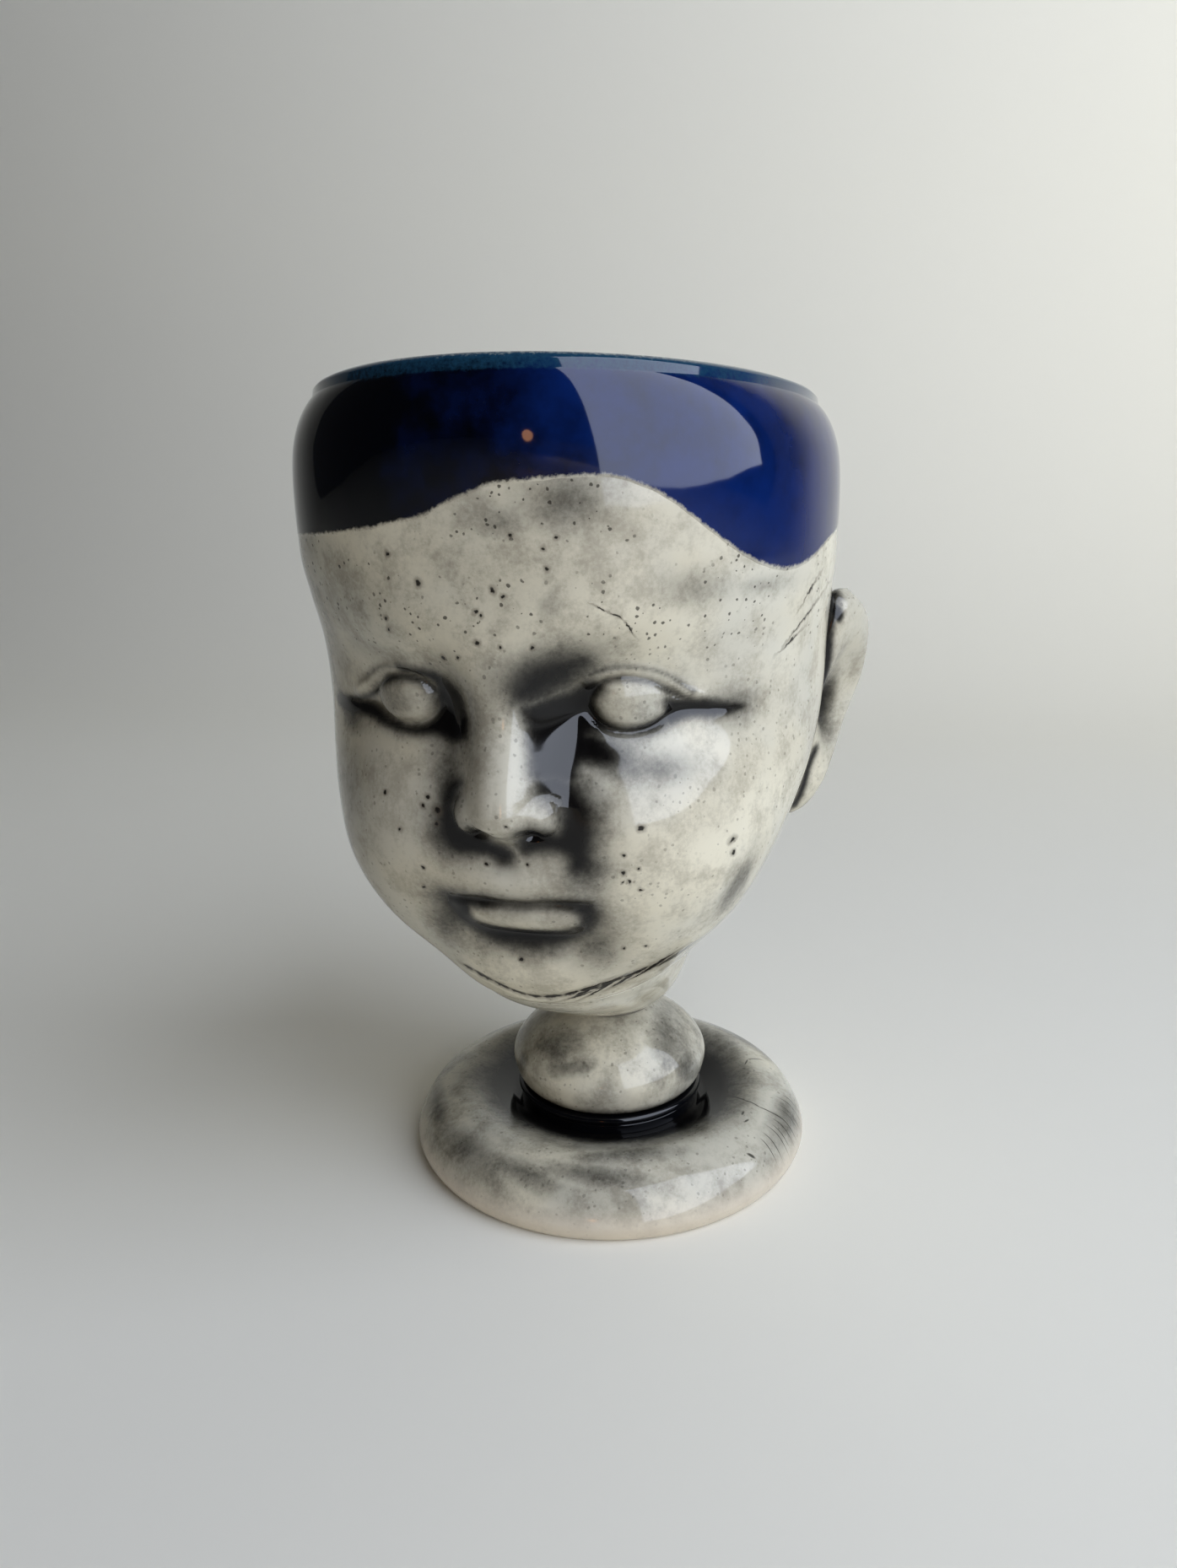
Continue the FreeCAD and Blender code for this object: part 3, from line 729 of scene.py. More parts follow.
def washed(distance, soft, strength):
    """Wash that is half strong at a distance of 0 and dies away outside it."""
    return strength * 0.5 * (1 - np.tanh(distance / soft))


print("wash 1 mm outside a soft edge:", round(float(washed(1.0, 0.6, 1.0)), 3))

# %% [markdown]
# ## Places of the wash
# These lists are drawn after the photograph, in mm across and up the face. Pen-like lines follow the
# lids, the tail of each eye and the parting of the lips. Patches fill the corners of the eyes and the sides
# of the nose and surround the lips. Smoke spots are soft ovals over and beside them.

# %% Lines, patches and smoke
eye_lines = (
    # half-width, softness, strength and points across and up
    (0.20, 0.60, 0.75, ((14.0, 115.4), (16.5, 116.3), (20.0, 116.5), (24.0, 115.6), (27.0, 113.9),
        (29.8, 111.3))),
    (0.40, 0.60, 0.85, ((14.6, 112.6), (16.6, 114.2), (20.0, 114.5), (23.5, 113.6), (26.2, 111.8),
        (28.5, 110.4), (31.0, 109.4), (35.4, 108.3))),
    (0.55, 0.60, 1.00, ((27.5, 108.9), (30.0, 109.0), (33.0, 108.6), (36.5, 107.6))),
    (0.50, 0.75, 0.95, ((-13.6, 111.6), (-15.5, 113.2), (-18.5, 114.0), (-22.0, 113.4), (-25.6, 111.6),
        (-29.0, 109.2), (-33.0, 107.8), (-38.0, 107.0))),
    (0.45, 0.55, 1.00, ((-12.6, 75.2), (-7.0, 75.7), (-1.5, 75.2), (3.0, 75.4), (8.0, 75.7), (13.0, 75.0))),
    (0.15, 0.90, 0.55, ((-20.0, 115.5), (-24.0, 115.2), (-27.5, 113.9), (-31.0, 111.6))),
)
wash_patches = (
    # softness, strength and loop: brow, inner corner and tail at the doll's left eye
    (2.3, 0.97, ((2.6, 112.0), (2.8, 114.4), (5.0, 116.6), (8.4, 117.6), (12.0, 118.0), (13.6, 117.2),
        (11.0, 116.0), (9.4, 114.4), (7.6, 112.6), (5.0, 111.4))),
    (1.1, 1.00, ((3.8, 110.6), (4.6, 107.2), (5.4, 100.0), (8.0, 98.4), (10.8, 98.0), (12.2, 101.2),
        (16.4, 101.4), (15.0, 103.6), (12.8, 105.0), (15.5, 105.7), (20.0, 105.1), (24.0, 105.5), (26.4, 107.2),
        (25.4, 107.4), (22.0, 106.1), (18.5, 106.2), (15.4, 108.2), (14.4, 110.8), (15.8, 113.2), (14.0, 113.9),
        (11.0, 112.4), (7.0, 111.4))),
    (0.8, 1.00, ((25.6, 110.2), (28.0, 109.7), (30.5, 109.6), (33.0, 109.0), (35.8, 107.9), (35.4, 107.1),
        (33.2, 106.9), (31.0, 107.2), (28.4, 107.2), (26.2, 106.6))),
    # inner corner and tail at the right eye
    (0.9, 1.00, ((-7.2, 105.0), (-7.0, 108.0), (-7.8, 110.5), (-10.0, 113.2), (-12.6, 114.8), (-16.0, 115.4),
        (-20.0, 115.6), (-20.0, 115.0), (-16.0, 114.7), (-13.2, 113.4), (-13.2, 110.5), (-13.8, 108.0),
        (-15.5, 106.0), (-19.5, 104.9), (-24.0, 105.4), (-28.5, 107.6), (-33.0, 107.3), (-38.5, 106.6),
        (-38.5, 105.6), (-30.0, 105.6), (-25.0, 104.8), (-19.5, 104.2), (-14.0, 104.4), (-10.0, 103.8))),
    # left and right of the nose, and under it
    (1.3, 1.00, ((-7.5, 97.5), (-9.6, 97.0), (-11.0, 94.5), (-11.4, 90.5), (-10.8, 86.8), (-9.0, 85.0),
        (-6.0, 84.9), (-3.4, 84.6), (-1.6, 83.2), (0.2, 83.4), (0.6, 85.2), (-0.8, 86.4), (-2.8, 87.2),
        (-4.8, 88.4), (-5.6, 90.6), (-6.2, 88.7), (-7.6, 88.8), (-9.2, 90.2), (-9.8, 93.0), (-9.0, 95.2))),
    (1.4, 1.00, ((6.0, 99.0), (8.6, 99.0), (10.8, 97.6), (12.0, 95.2), (13.0, 91.0), (13.0, 87.5), (12.6, 84.0),
        (11.0, 83.0), (10.4, 84.8), (8.4, 85.9), (5.4, 85.7), (2.6, 85.2), (1.8, 87.0), (2.6, 89.4),
        (3.8, 90.7), (5.6, 91.0), (7.4, 90.2), (8.4, 89.0), (9.4, 90.0), (9.8, 92.4), (9.0, 94.8), (7.4, 96.0),
        (6.2, 96.8))),
    # round the lips, with the lower lip wiped clean afterwards
    (1.5, 1.00, ((-13.0, 75.6), (-10.0, 76.4), (-4.0, 76.3), (0.0, 75.9), (5.0, 76.3), (10.0, 76.3),
        (12.8, 75.6), (13.6, 73.4), (12.8, 70.8), (10.2, 68.4), (7.6, 66.4), (4.0, 65.4), (-2.0, 65.2),
        (-6.5, 66.0), (-9.5, 68.0), (-12.0, 70.4), (-13.6, 73.4))),
)
wiped_lip = (
    (-8.4, 73.4), (-3.0, 74.4), (1.0, 74.3), (5.0, 74.7), (9.4, 74.2), (11.0, 72.6), (9.8, 70.4), (6.0, 69.3),
    (0.0, 69.2), (-5.0, 69.6), (-8.4, 71.2),
)
smoke_and_shade_spots = (
    # across, up, wide, tall, tilt, strength
    # the spots from -10.0 to -12.0 across are wash with painted shade on top, and the one at -44.0 across is
    # painted shade
    (8.0, 116.5, 10.0, 5.0, 14, 0.62), (3.5, 114.0, 3.0, 5.0, 0, 0.45), (15.5, 102.3, 7.0, 3.6, -25, 0.78),
    (23.0, 99.5, 7.0, 2.4, -8, 0.36),
    (35.5, 108.0, 4.0, 3.6, 0, 0.40), (-10.0, 109.0, 6.0, 9.0, 0, 0.62), (-12.0, 102.0, 4.0, 4.0, 0, 0.35),
    (-33.5, 104.2, 4.0, 3.0, 0, 0.55),
    (-10.5, 97.0, 3.6, 12.0, 0, 0.50), (-11.0, 89.0, 4.0, 6.0, 0, 0.66), (12.5, 90.0, 4.0, 10.0, 0, 0.68),
    (12.5, 83.5, 4.5, 5.0, 0, 0.62),
    (-14.5, 70.0, 4.0, 7.0, 0, 0.60), (-9.0, 65.0, 7.0, 3.4, 0, 0.34), (13.0, 66.0, 5.0, 6.0, 0, 0.50),
    (2.0, 64.0, 10.0, 2.2, 0, 0.30),
    (20.2, 110.1, 7.5, 5.2, 0, 0.22), (-20.2, 110.1, 7.5, 5.2, 0, 0.30), (-24.0, 118.0, 10.0, 3.0, -12, 0.22),
    (1.0, 73.0, 9.0, 1.2, 0, 0.12),
    (12.0, 143.0, 8.0, 5.0, 0, 0.42), (2.0, 140.0, 7.0, 3.0, 0, 0.30), (9.0, 127.0, 2.4, 2.4, 0, 0.30),
    (30.0, 129.0, 5.0, 3.2, 0, 0.30),
    (-30.0, 128.0, 14.0, 8.0, 0, 0.20), (-44.0, 122.0, 10.0, 16.0, 0, 0.42), (-2.0, 130.0, 18.0, 12.0, 0, 0.15),
    (-24.0, 127.0, 16.0, 10.0, 0, 0.16), (36.3, 75.0, 1.6, 6.0, -26, 0.45), (-34.0, 92.0, 7.0, 12.0, 0, 0.22),
    (40.0, 128.5, 4.0, 1.5, 0, 0.20),
)
print("wash:", len(eye_lines), "lines,", len(wash_patches), "patches and", len(smoke_and_shade_spots), "smoke spots")

# %% [markdown]
# ## Wash on the face
# Where two marks overlap the darker one wins, since wash on wash is no blacker than black. The lower lip is
# wiped clean at the end, as the potter did it, and both amounts fade out round the side of the head.

# %% Wash on the face
plain = head_base(grid_t, grid_angle)
face_x, face_z = plain[..., 0] - centre_x, plain[..., 2]
front = np.clip(np.cos(grid_angle) * 4, 0, 1)
stain, smoke = np.zeros(face_x.shape), np.zeros(face_x.shape)
for half, soft, strength, points in eye_lines:
    distance = line_distance(face_x, face_z, np.array(points))[0] - half
    stain = np.maximum(stain, washed(distance, soft, strength))
for soft, strength, points in wash_patches:
    stain = np.maximum(stain, washed(loop_distance(face_x, face_z, points) - 0.35, soft, strength))
stain *= 1 - washed(loop_distance(face_x, face_z, wiped_lip), 0.9, 1.0)
for across_mm, up_mm, wide_mm, tall_mm, tilt, strength in smoke_and_shade_spots:
    smoke = np.maximum(smoke, strength * bell(face_x, face_z, across_mm, up_mm, wide_mm, tall_mm, tilt))
point_values(head_mesh, "stain", (stain * front).ravel())
point_values(head_mesh, "smoke", (smoke * front).ravel())
print("wash covers", round(float((stain * front > 0.5).mean()) * 100, 1), "% of the outside")

# %% [markdown]
# ## Cobalt hair
# The blue glaze is a coat about half a millimetre thick, poured over the top of the head and run down to a
# scalloped edge that reads as a fringe. It could be a colour on the head's own surface, but the real coat
# stands out a little, so it is its own thin shell. First comes its lower edge, as one height for each angle.

# %% Scalloped edge of the hair
hair_depth, scallop_rise = 32.9, 18.0
scallops = np.array((
    0.28, 0.50, 0.39, 0.11, 0.06, 0.28, 0.50, 0.53, 0.42, 0.41, 0.42, 0.61,
    0.85, 0.98, 0.72, 0.25, 0.01, 0.19, 0.50, 0.61, 0.39, 0.11, 0.06, 0.19, 0.28,
))
turn_share = (angles + math.pi) / (2 * math.pi)
scalloped = head_seat + head_height - hair_depth + scallop_rise * smooth_along(scallops, turn_share)
front_edge = np.array((
    # across and up, as seen on the front
    (-42.0, 136.3), (-38.0, 136.6), (-30.0, 137.2), (-20.0, 138.5), (-15.0, 139.4), (-10.0, 140.4),
    (-5.0, 142.8), (0.0, 144.7), (5.0, 145.4), (10.0, 145.7),
    (15.0, 146.1), (20.0, 145.9), (25.0, 144.0), (30.0, 140.0), (35.0, 135.2), (40.0, 131.4), (43.5, 130.2),
    (45.0, 130.1), (48.0, 132.0), (49.8, 134.6),
))
# the front has the edge as it was seen, and the scallops take over round the sides
front_x = head_base(np.full(columns_round, 0.85), angles)[:, 0] - centre_x
at_front = np.clip((np.cos(angles) + 0.1) / 0.35, 0, 1)
hair_edge_z = scalloped * (1 - at_front) + np.interp(front_x, front_edge[:, 0], front_edge[:, 1]) * at_front
for _ in range(12):
    hair_edge_z = (np.roll(hair_edge_z, 1) + 2 * hair_edge_z + np.roll(hair_edge_z, -1)) / 4
hair_edge_z += 0.05 * np.sin(37 * angles) + 0.04 * np.sin(91 * angles + 1)
hair_edge_t = np.array([np.interp(z, outside[:, k, 2], levels) for k, z in enumerate(hair_edge_z)])
print("hair edge runs from z", hair_edge_z.min().round(1), "to", hair_edge_z.max().round(1), "mm")

# %% [markdown]
# ## The coat outside
# The coat starts just under the clay at its edge, swells within a millimetre as a bead of thick glaze does,
# and grows to half a millimetre at the rim. Its loops go up the outside and over the rim, then back under,
# which makes a closed shell. Two numbers go with each point: how thin the glaze runs, at the crest of the
# rim, and how far it has faded, at the edge.

# %% Cobalt hair
def hair_loop(share, offset):
    """A loop of the coat, from 0 at the scalloped edge to 1 at the rim."""
    return head_outside(hair_edge_t + (1 - hair_edge_t) * share, angles, offset)


shares = np.concatenate([np.linspace(0, 0.1, 12, endpoint=False), np.linspace(0.1, 1, 40)])
edge_depth, edge_bead, full_coat, glaze_gap = 0.12, 0.17, 0.5, 0.03
coat = [hair_loop(s, edge_bead * min(1.0, s / 0.012) - edge_depth + 0.45 * s ** 0.8) for s in shares]
coat += [rim_loop(wall * inset - full_coat, rim_rise * rise + full_coat) for inset, rise in rim_moves[:4]]
under = [rim_loop(wall * inset - glaze_gap, rim_rise * rise + glaze_gap) for inset, rise in rim_moves[3::-1]]
under += [hair_loop(s, glaze_gap) for s in shares[::-4]]
hair_mesh = net_mesh("cobalt_hair", coat + under, ring=True)
near_crest = 0.45 * np.exp(-((1 - shares) * 16) ** 2)
crest = np.concatenate([near_crest, [0.55, 0.75, 0.95, 1.1], np.ones(4), np.zeros(len(under) - 4)])
point_values(hair_mesh, "thin", np.repeat(crest, columns_round))
coat_height = np.array([c[:, 2] - hair_edge_z for c in coat + under])
point_values(hair_mesh, "fade", np.clip(1.2 - coat_height / 1.1, 0, 1).ravel())
cobalt_hair = show("cobalt_hair", hair_mesh, cobalt)

# %% [markdown]
# ## The lining of the cup
# The same glaze was poured into the cup, so the lining is a second closed shell that lies on the inside wall
# and meets the outer coat at the crest of the rim, where it is thin as well.

# %% Cobalt lining of the cup
depths = np.linspace(0.03, 1, 30)
wall_side = [cup_inside(d, glaze_gap) for d in depths[::-1]]
open_side = []
for loops, gap, moves in ((wall_side, glaze_gap, rim_moves[:2:-1]), (open_side, full_coat, rim_moves[3:])):
    loops += [rim_loop(wall * inset + gap, rim_rise * rise + gap) for inset, rise in moves]
open_side += [cup_inside(d, full_coat) for d in depths]
lining_mesh = net_mesh("cobalt_lining", wall_side + open_side)
lining_thin = np.concatenate([np.zeros(len(wall_side)), [1.1, 0.9, 0.6, 0.4, 0.2], np.zeros(30)])
point_values(lining_mesh, "thin", np.repeat(lining_thin, columns_round))
point_values(lining_mesh, "fade", np.zeros(len(lining_mesh.vertices)))
cobalt_lining = show("cobalt_lining", lining_mesh, cobalt)

# %% [markdown]
# ## An ear drawn flat
# Each ear is a thin shell with a rolled rim, a hollow and a lobe. It is drawn flat first, as heights over a
# squared oval, since an outline is easy to judge that way. Then its root, lobe and upper slope are pushed
# about until the oval has the shape of the real ear. Where its hollows lie, the wash stays dark.

# %% Ear before it is set on
ear_height, ear_width, ear_thickness, ear_square = 48.0, 22.0, 5.0, 2.4
ear_reaches = np.concatenate([np.linspace(0.02, 1, 26), np.linspace(0.98, 0.02, 12)])
ear_faces = np.concatenate([np.ones(25), [0], -np.ones(12)])
ear_crease = ((1.9, -6.5), (0.3, -12.0), (-0.4, -17.0), (0.3, -22.0))
ear_turn = np.linspace(0, 2 * math.pi, 96, endpoint=False)
sine, cosine = np.sin(ear_turn), np.cos(ear_turn)
flat_ear, hollows = [], []
for reach, face in zip(ear_reaches, ear_faces):
    taper = 1 - 0.30 * np.maximum(0, -cosine) ** 1.5
    x = ear_width / 2 * reach * signed_power(sine, 2 / ear_square) * taper
    z = ear_height / 2 * reach * signed_power(cosine, 2 / ear_square)
    edge = math.sqrt(max(0.0, 1 - ((reach - 0.88) / 0.12) ** 2)) if reach > 0.88 else 1.0
    rolled = 1.6 * np.exp(-((reach - 0.72) / 0.22) ** 2)
    along_hole = (0.41 * (x - 0.4) - 0.91 * (z - 1.6)) / 4.6
    across_hole = (0.91 * (x - 0.4) + 0.41 * (z - 1.6)) / 1.6
    hole = np.exp(-along_hole ** 2 - across_hole ** 2)
    relief = rolled + 0.6 * np.exp(-((x - 3) / 4) ** 2) - 3.2 * hole
    out = ear_thickness / 2 * face * edge + (relief if face > 0 else 0)
    root = np.clip(z / 24, 0, 1) * np.clip(0.3 - x / 11, 0, 1)
    lobe = np.clip(-(z + 1) / 13, 0, 1) * np.clip((x + 4) / 8, 0, 1)
    slope = np.clip((z - 9) / 10, 0, 1) * np.clip((x + 3) / 7, 0, 1)
    x, z = x - 7 * root - 1.6 * slope + 1.0 * lobe, z + 4.5 * root - 1.4 * slope
    flat_ear.append(np.stack([x, -(out + 1.8 * lobe), z], axis=-1))
    pit = np.exp(-((x + 12.3) / 1.2) ** 4 - ((z - 21.4) / 1.5) ** 4)
    under_lobe = 0.95 * crease(x, z, ear_crease, 1.1)
    hollows.append(np.maximum(np.maximum(hole ** 0.45, pit), under_lobe) if face > 0 else np.zeros_like(x))
print("flat ear:", len(flat_ear), "loops of", len(sine), "points")

# %% [markdown]
# ## Setting the ears on
# The ear stands off the side of the head, open toward the front and leaning back. Points that would go into
# the cup are held half a millimetre under the head's surface, so the ear looks grown on rather than stuck
# through. Wash gathers along the joint, all but one bridge above the lobe, so the distance to the head gives
# its place.

# %% Ears
head_points, head_faces = [v.co.copy() for v in head_mesh.vertices], [p.vertices[:] for p in head_mesh.polygons]
head_tree = BVHTree.FromPolygons(head_points, head_faces)
ear_flare, ear_lean = math.radians(90 - 24), math.radians(20)
ear_place = np.array((half_width - 4.2, 9.0, head_seat + 48.5))
sunk, bridge_z = 0.5, head_seat + 43.0


def ear_piece(name, side):
    """An ear at the doll's left for a side of 1, or at its right for -1."""
    turn_out = Matrix.Rotation(ear_lean, 3, "Y") @ Matrix.Rotation(ear_flare, 3, "Z")
    loops = np.array(flat_ear) @ np.array(turn_out).T + ear_place
    loops[..., 0] = side * loops[..., 0] + centre_x
    flat = loops.reshape(-1, 3)
    for point in flat:
        beside = Vector((side * 0.12, point[1] * MM, point[2] * MM))
        hit = head_tree.ray_cast(beside, Vector((-side, 0, 0)))[0]
        if hit is not None and (point[0] - hit.x / MM) * side < -sunk:
            point[0] = hit.x / MM - sunk * side
    loops = flat.reshape(loops.shape)
    mesh = net_mesh(name, loops if side < 0 else loops[:, ::-1])
    print(name, "outermost x", round(float(np.abs(loops[..., 0] - centre_x).max()), 1))

    gap = np.array([head_tree.find_nearest(Vector(point) * MM)[3] / MM for point in flat])
    gap = gap.reshape(loops.shape[:2])
    bridge = np.exp(-((loops[..., 2] - bridge_z) / 2.5) ** 2)
    joined = 0.95 * np.exp(-(np.maximum(gap - sunk, 0) / 0.9) ** 2) * (1 - 0.9 * bridge)
    worn = np.maximum(joined, 0.98 * np.array(hollows))
    worn = worn if side < 0 else worn[:, ::-1]
    point_values(mesh, "stain", worn.ravel())
    point_values(mesh, "smoke", np.full(worn.size, 0.06))
    return show(name, mesh, washed_plain)


ear_left = ear_piece("ear_left", 1)
ear_right = ear_piece("ear_right", -1)

# %% [markdown]
# ## Neck
# The neck is a funnel that starts round at the joint and spreads to the oval under the jaw, further forward
# than back. Its loops are mixed from those two shapes by a small table of shares.

# %% Neck
joint_top, stem_top_radius = 33.0, 9.4
neck_flare = np.array((
    (0.00, 0.00, 0.00), (0.05, 0.10, 0.04), (0.14, 0.34, 0.20), (0.35, 0.60, 0.42),
    (0.60, 0.80, 0.68), (0.82, 0.93, 0.88), (1.00, 1.00, 1.00),
))
neck_rows_up = np.linspace(0, 1, 44)

jaw = head_base(np.zeros(columns_round), angles)
bearing = np.arctan2(jaw[:, 0] - centre_x, -(jaw[:, 1] - centre_y))
neck_loops = []
for up_share, widen, lengthen in smooth_along(neck_flare, neck_rows_up):
    x, y = stem_top_radius * np.sin(bearing), -stem_top_radius * np.cos(bearing)
    z = joint_top + (jaw[:, 2] - joint_top) * up_share
    neck_loops.append(np.stack([x + (jaw[:, 0] - x) * widen, y + (jaw[:, 1] - y) * lengthen, z], axis=-1))
neck_mesh = net_mesh("neck_funnel", neck_loops)
neck_levels = np.repeat(neck_rows_up, columns_round)
point_values(neck_mesh, "stain", 0.0 * neck_levels)
# the neck is greyer toward its foot, near the joint with the stem
point_values(neck_mesh, "smoke", 0.3 * np.exp(-((neck_levels - 0.05) / 0.2) ** 2))
neck_funnel = show("neck_funnel", neck_mesh, washed_cream)

# %% [markdown]
# ## Turned stem, collar and foot
# These were thrown on a wheel, so one profile swept round gives each of them. A screw or spin tool could do
# it by hand. Here Geometry Nodes do the sweep: a flat grid's rows are laid along the profile and its columns
# are turned about the axis, which is the wheel's own rule. The numbers of columns and rows and the finish are
# inputs of the tree, so one tree throws all three pieces.

# %% A wheel made of nodes
wheel = bpy.data.node_groups.new("throw_on_wheel", "GeometryNodeTree")
for name, kind, start in (
    ("Geometry", "NodeSocketGeometry", None), ("Columns", "NodeSocketInt", 256),
    ("Rows", "NodeSocketInt", 96), ("Finish", "NodeSocketMaterial", None),
):
    socket = wheel.interface.new_socket(name, in_out="INPUT", socket_type=kind)
    if start is not None:
        socket.default_value = start
wheel.interface.new_socket("Geometry", in_out="OUTPUT", socket_type="NodeSocketGeometry")
given = add(wheel, "NodeGroupInput", output=None).outputs
curve = add(wheel, "GeometryNodeMeshToCurve", {"Mesh": given["Geometry"]})
square = {"Size X": 1.0, "Size Y": 1.0, "Vertices X": given["Columns"], "Vertices Y": given["Rows"]}
grid = add(wheel, "GeometryNodeMeshGrid", square)
spot = add(wheel, "SeparateXYZ", (add(wheel, "GeometryNodeInputPosition"),), None).outputs
along_path = add(wheel, "Math", (spot["Y"], 0.5), operation="ADD", use_clamp=True)
on_profile = {"Curves": curve, "Factor": along_path}
sample = add(wheel, "GeometryNodeSampleCurve", on_profile, "Position", mode="FACTOR", use_all_curves=True)
turn_by = add(wheel, "Math", (spot["X"], 2 * math.pi), operation="MULTIPLY")
spun = add(wheel, "VectorRotate", {"Vector": sample, "Angle": turn_by}, rotation_type="Z_AXIS")
thrown = add(wheel, "GeometryNodeSetPosition", {"Geometry": grid, "Position": spun})
for kind, setting in (
    ("MergeByDistance", {"Distance": 1e-6}), ("SetShadeSmooth", {}), ("RealizeInstances", {}),
    ("SetMaterial", {"Material": given["Finish"]}),
):
    thrown = add(wheel, "GeometryNode" + kind, {"Geometry": thrown} | setting)
add(wheel, "NodeGroupOutput", {"Geometry": thrown}, None)
print("wheel tree:", len(wheel.nodes), "nodes")

# %% [markdown]
# ## Throwing a piece
# To throw one piece, its profile is made as a chain of edges, the wheel turns it, and the result is kept as a
# plain mesh that the record can hold. The profile's points are spread evenly along its length first, or the
# rounded parts would get fewer rings than the straight ones.

# %% Throwing a piece
def thrown_piece(name, profile, material, columns=256, rows=128):
    """A turned piece from a profile of (radius, height) points in mm."""
    line = bpy.data.meshes.new(name + "_profile")
    edges = [(k, k + 1) for k in range(len(profile) - 1)]
    line.from_pydata([(r * MM, 0, z * MM) for r, z in profile], edges, [])
    blank = bpy.data.objects.new(name + "_blank", line)
    bpy.context.collection.objects.link(blank)
    modifier = blank.modifiers.new("wheel", "NODES")
    modifier.node_group = wheel
    sockets = {item.name: item.identifier for item in wheel.interface.items_tree if item.in_out == "INPUT"}
    for socket_name, value in (("Columns", columns + 1), ("Rows", rows), ("Finish", material)):
        modifier[sockets[socket_name]] = value
    bpy.context.view_layer.update()
    mesh = bpy.data.meshes.new_from_object(blank.evaluated_get(bpy.context.evaluated_depsgraph_get()))
    bpy.data.objects.remove(blank)
    mesh.name = name
    return show(name, mesh, material)


def rounded(points, count):
    """A smooth profile through points, at even shares of its length."""
    points = np.array(points, dtype=float)
    fine = smooth_along(points, np.linspace(0, 1, 60 * len(points)))
    walked = np.concatenate([[0], np.cumsum(np.linalg.norm(np.diff(fine, axis=0), axis=1))])
    stops = np.linspace(0, walked[-1], count)
    return np.stack([np.interp(stops, walked, fine[:, k]) for k in (0, 1)], axis=-1).tolist()


print("inputs of the wheel:", [item.name for item in wheel.interface.items_tree if item.in_out == "INPUT"])

# %% [markdown]
# ## Smears and strokes on the foot and the stem
# The foot and the stem carry the same wash as the head, but a sponge on the turning wheel drew it out along
# the rings. The smears, the small pen strokes round the foot's edge and a curl by the collar are placed one
# by one, as they were seen.

# %% Places of the smears
foot_smears = (
    # across, back, half-length, half-width and tilt of grey smears, seen from above
    (-24.0, -31.0, 12.0, 2.6, -38), (-10.5, -37.5, 10.0, 1.8, -16), (2.5, -37.0, 11.0, 1.8, 4),
    (11.0, -30.5, 10.0, 2.2, 22), (40.0, -5.0, 10.0, 2.4, 80), (-36.0, -16.0, 9.0, 1.8, -64),
    (24.0, 30.0, 13.0, 3.0, 140), (-28.0, 26.0, 13.0, 3.0, 45), (-28.0, 3.0, 15.0, 4.5, 84),
)
foot_curl = strokes(((28.4, -3.0), (31.5, -5.6), (34.6, -6.7), (40.3, -6.4)), 0.2)
tick_radius = 41.0
foot_ticks = tuple(
    (tick_radius * math.cos(a), tick_radius * math.sin(a), 2.2 + (k % 3) * 0.5, 0.13, math.degrees(a) + 6)
    for k, a in enumerate(np.radians((-24, -21, -17, -15, -12, -9, -5, -3, 1, 4)))
)
foot_flecks = (
    (31.4, -10.8, 0.9, 0.3, 80), (32.4, -13.0, 0.9, 0.25, 60), (34.2, -21.4, 1.0, 0.35, 15),
    (31.8, 14.2, 2.4, 0.2, 40), (30.0, 11.5, 1.4, 0.2, 80),
)
foot_strokes = foot_curl + foot_ticks + foot_flecks
stem_smears = (
    # across, up, half-length, half-width and tilt, seen from the front
    (-8.5, 27.6, 5.0, 2.4, 20), (-5.0, 24.6, 4.5, 1.4, 12), (14.5, 27.5, 6.0, 2.0, -48),
    (19.0, 21.5, 4.5, 1.6, -65), (-17.0, 21.0, 4.0, 1.6, 60),
)
print("foot:", len(foot_smears), "smears and", len(foot_strokes), "strokes; stem:", len(stem_smears), "smears")

# %% [markdown]
# ## Finishes of the foot and the stem
# The foot is darkest in the well round the collar, and more so toward the back, and the stem is darkest at its
# lower end, and the foot's lowest edge is bare pinkish clay where the glaze was wiped off for the kiln shelf.
# All of that follows the distance to the axis and the height, so the material works it out from Object
# coordinates. The glaze is the head's.

# %% Washed foot and stem
def ring_mask(tree, value, middle, width):
    """1 where a value is at a middle and 0 a width away from it."""
    away = add(tree, "Math", (value, middle), operation="SUBTRACT")
    away = add(tree, "Math", (away,), operation="ABSOLUTE")
    return add(tree, "MapRange", (away, 0.0, width, 1.0, 0.0), **eased)


def smeared(tree, where, nearest, ragged_mm, veil_mm, smear_range, veil_range):
    """Smoke from smears with ragged ends, and a thin uneven veil between them."""
    rough = {"Vector": where, "Scale": 1000 / ragged_mm, "Detail": 5.0, "Roughness": 0.65}
    uneven = add(tree, "Math", (add(tree, "TexNoise", rough), 0.5), operation="SUBTRACT")
    uneven = add(tree, "Math", (uneven, 1.6), operation="MULTIPLY")
    nearest = add(tree, "Math", (nearest, uneven), operation="ADD")
    cloud = add(tree, "TexNoise", {"Vector": where, "Scale": 1000 / veil_mm, "Detail": 5.0})
    both = [add(tree, "MapRange", (v,) + r, **eased) for v, r in ((nearest, smear_range), (cloud, veil_range))]
    return add(tree, "Math", both, operation="MAXIMUM")


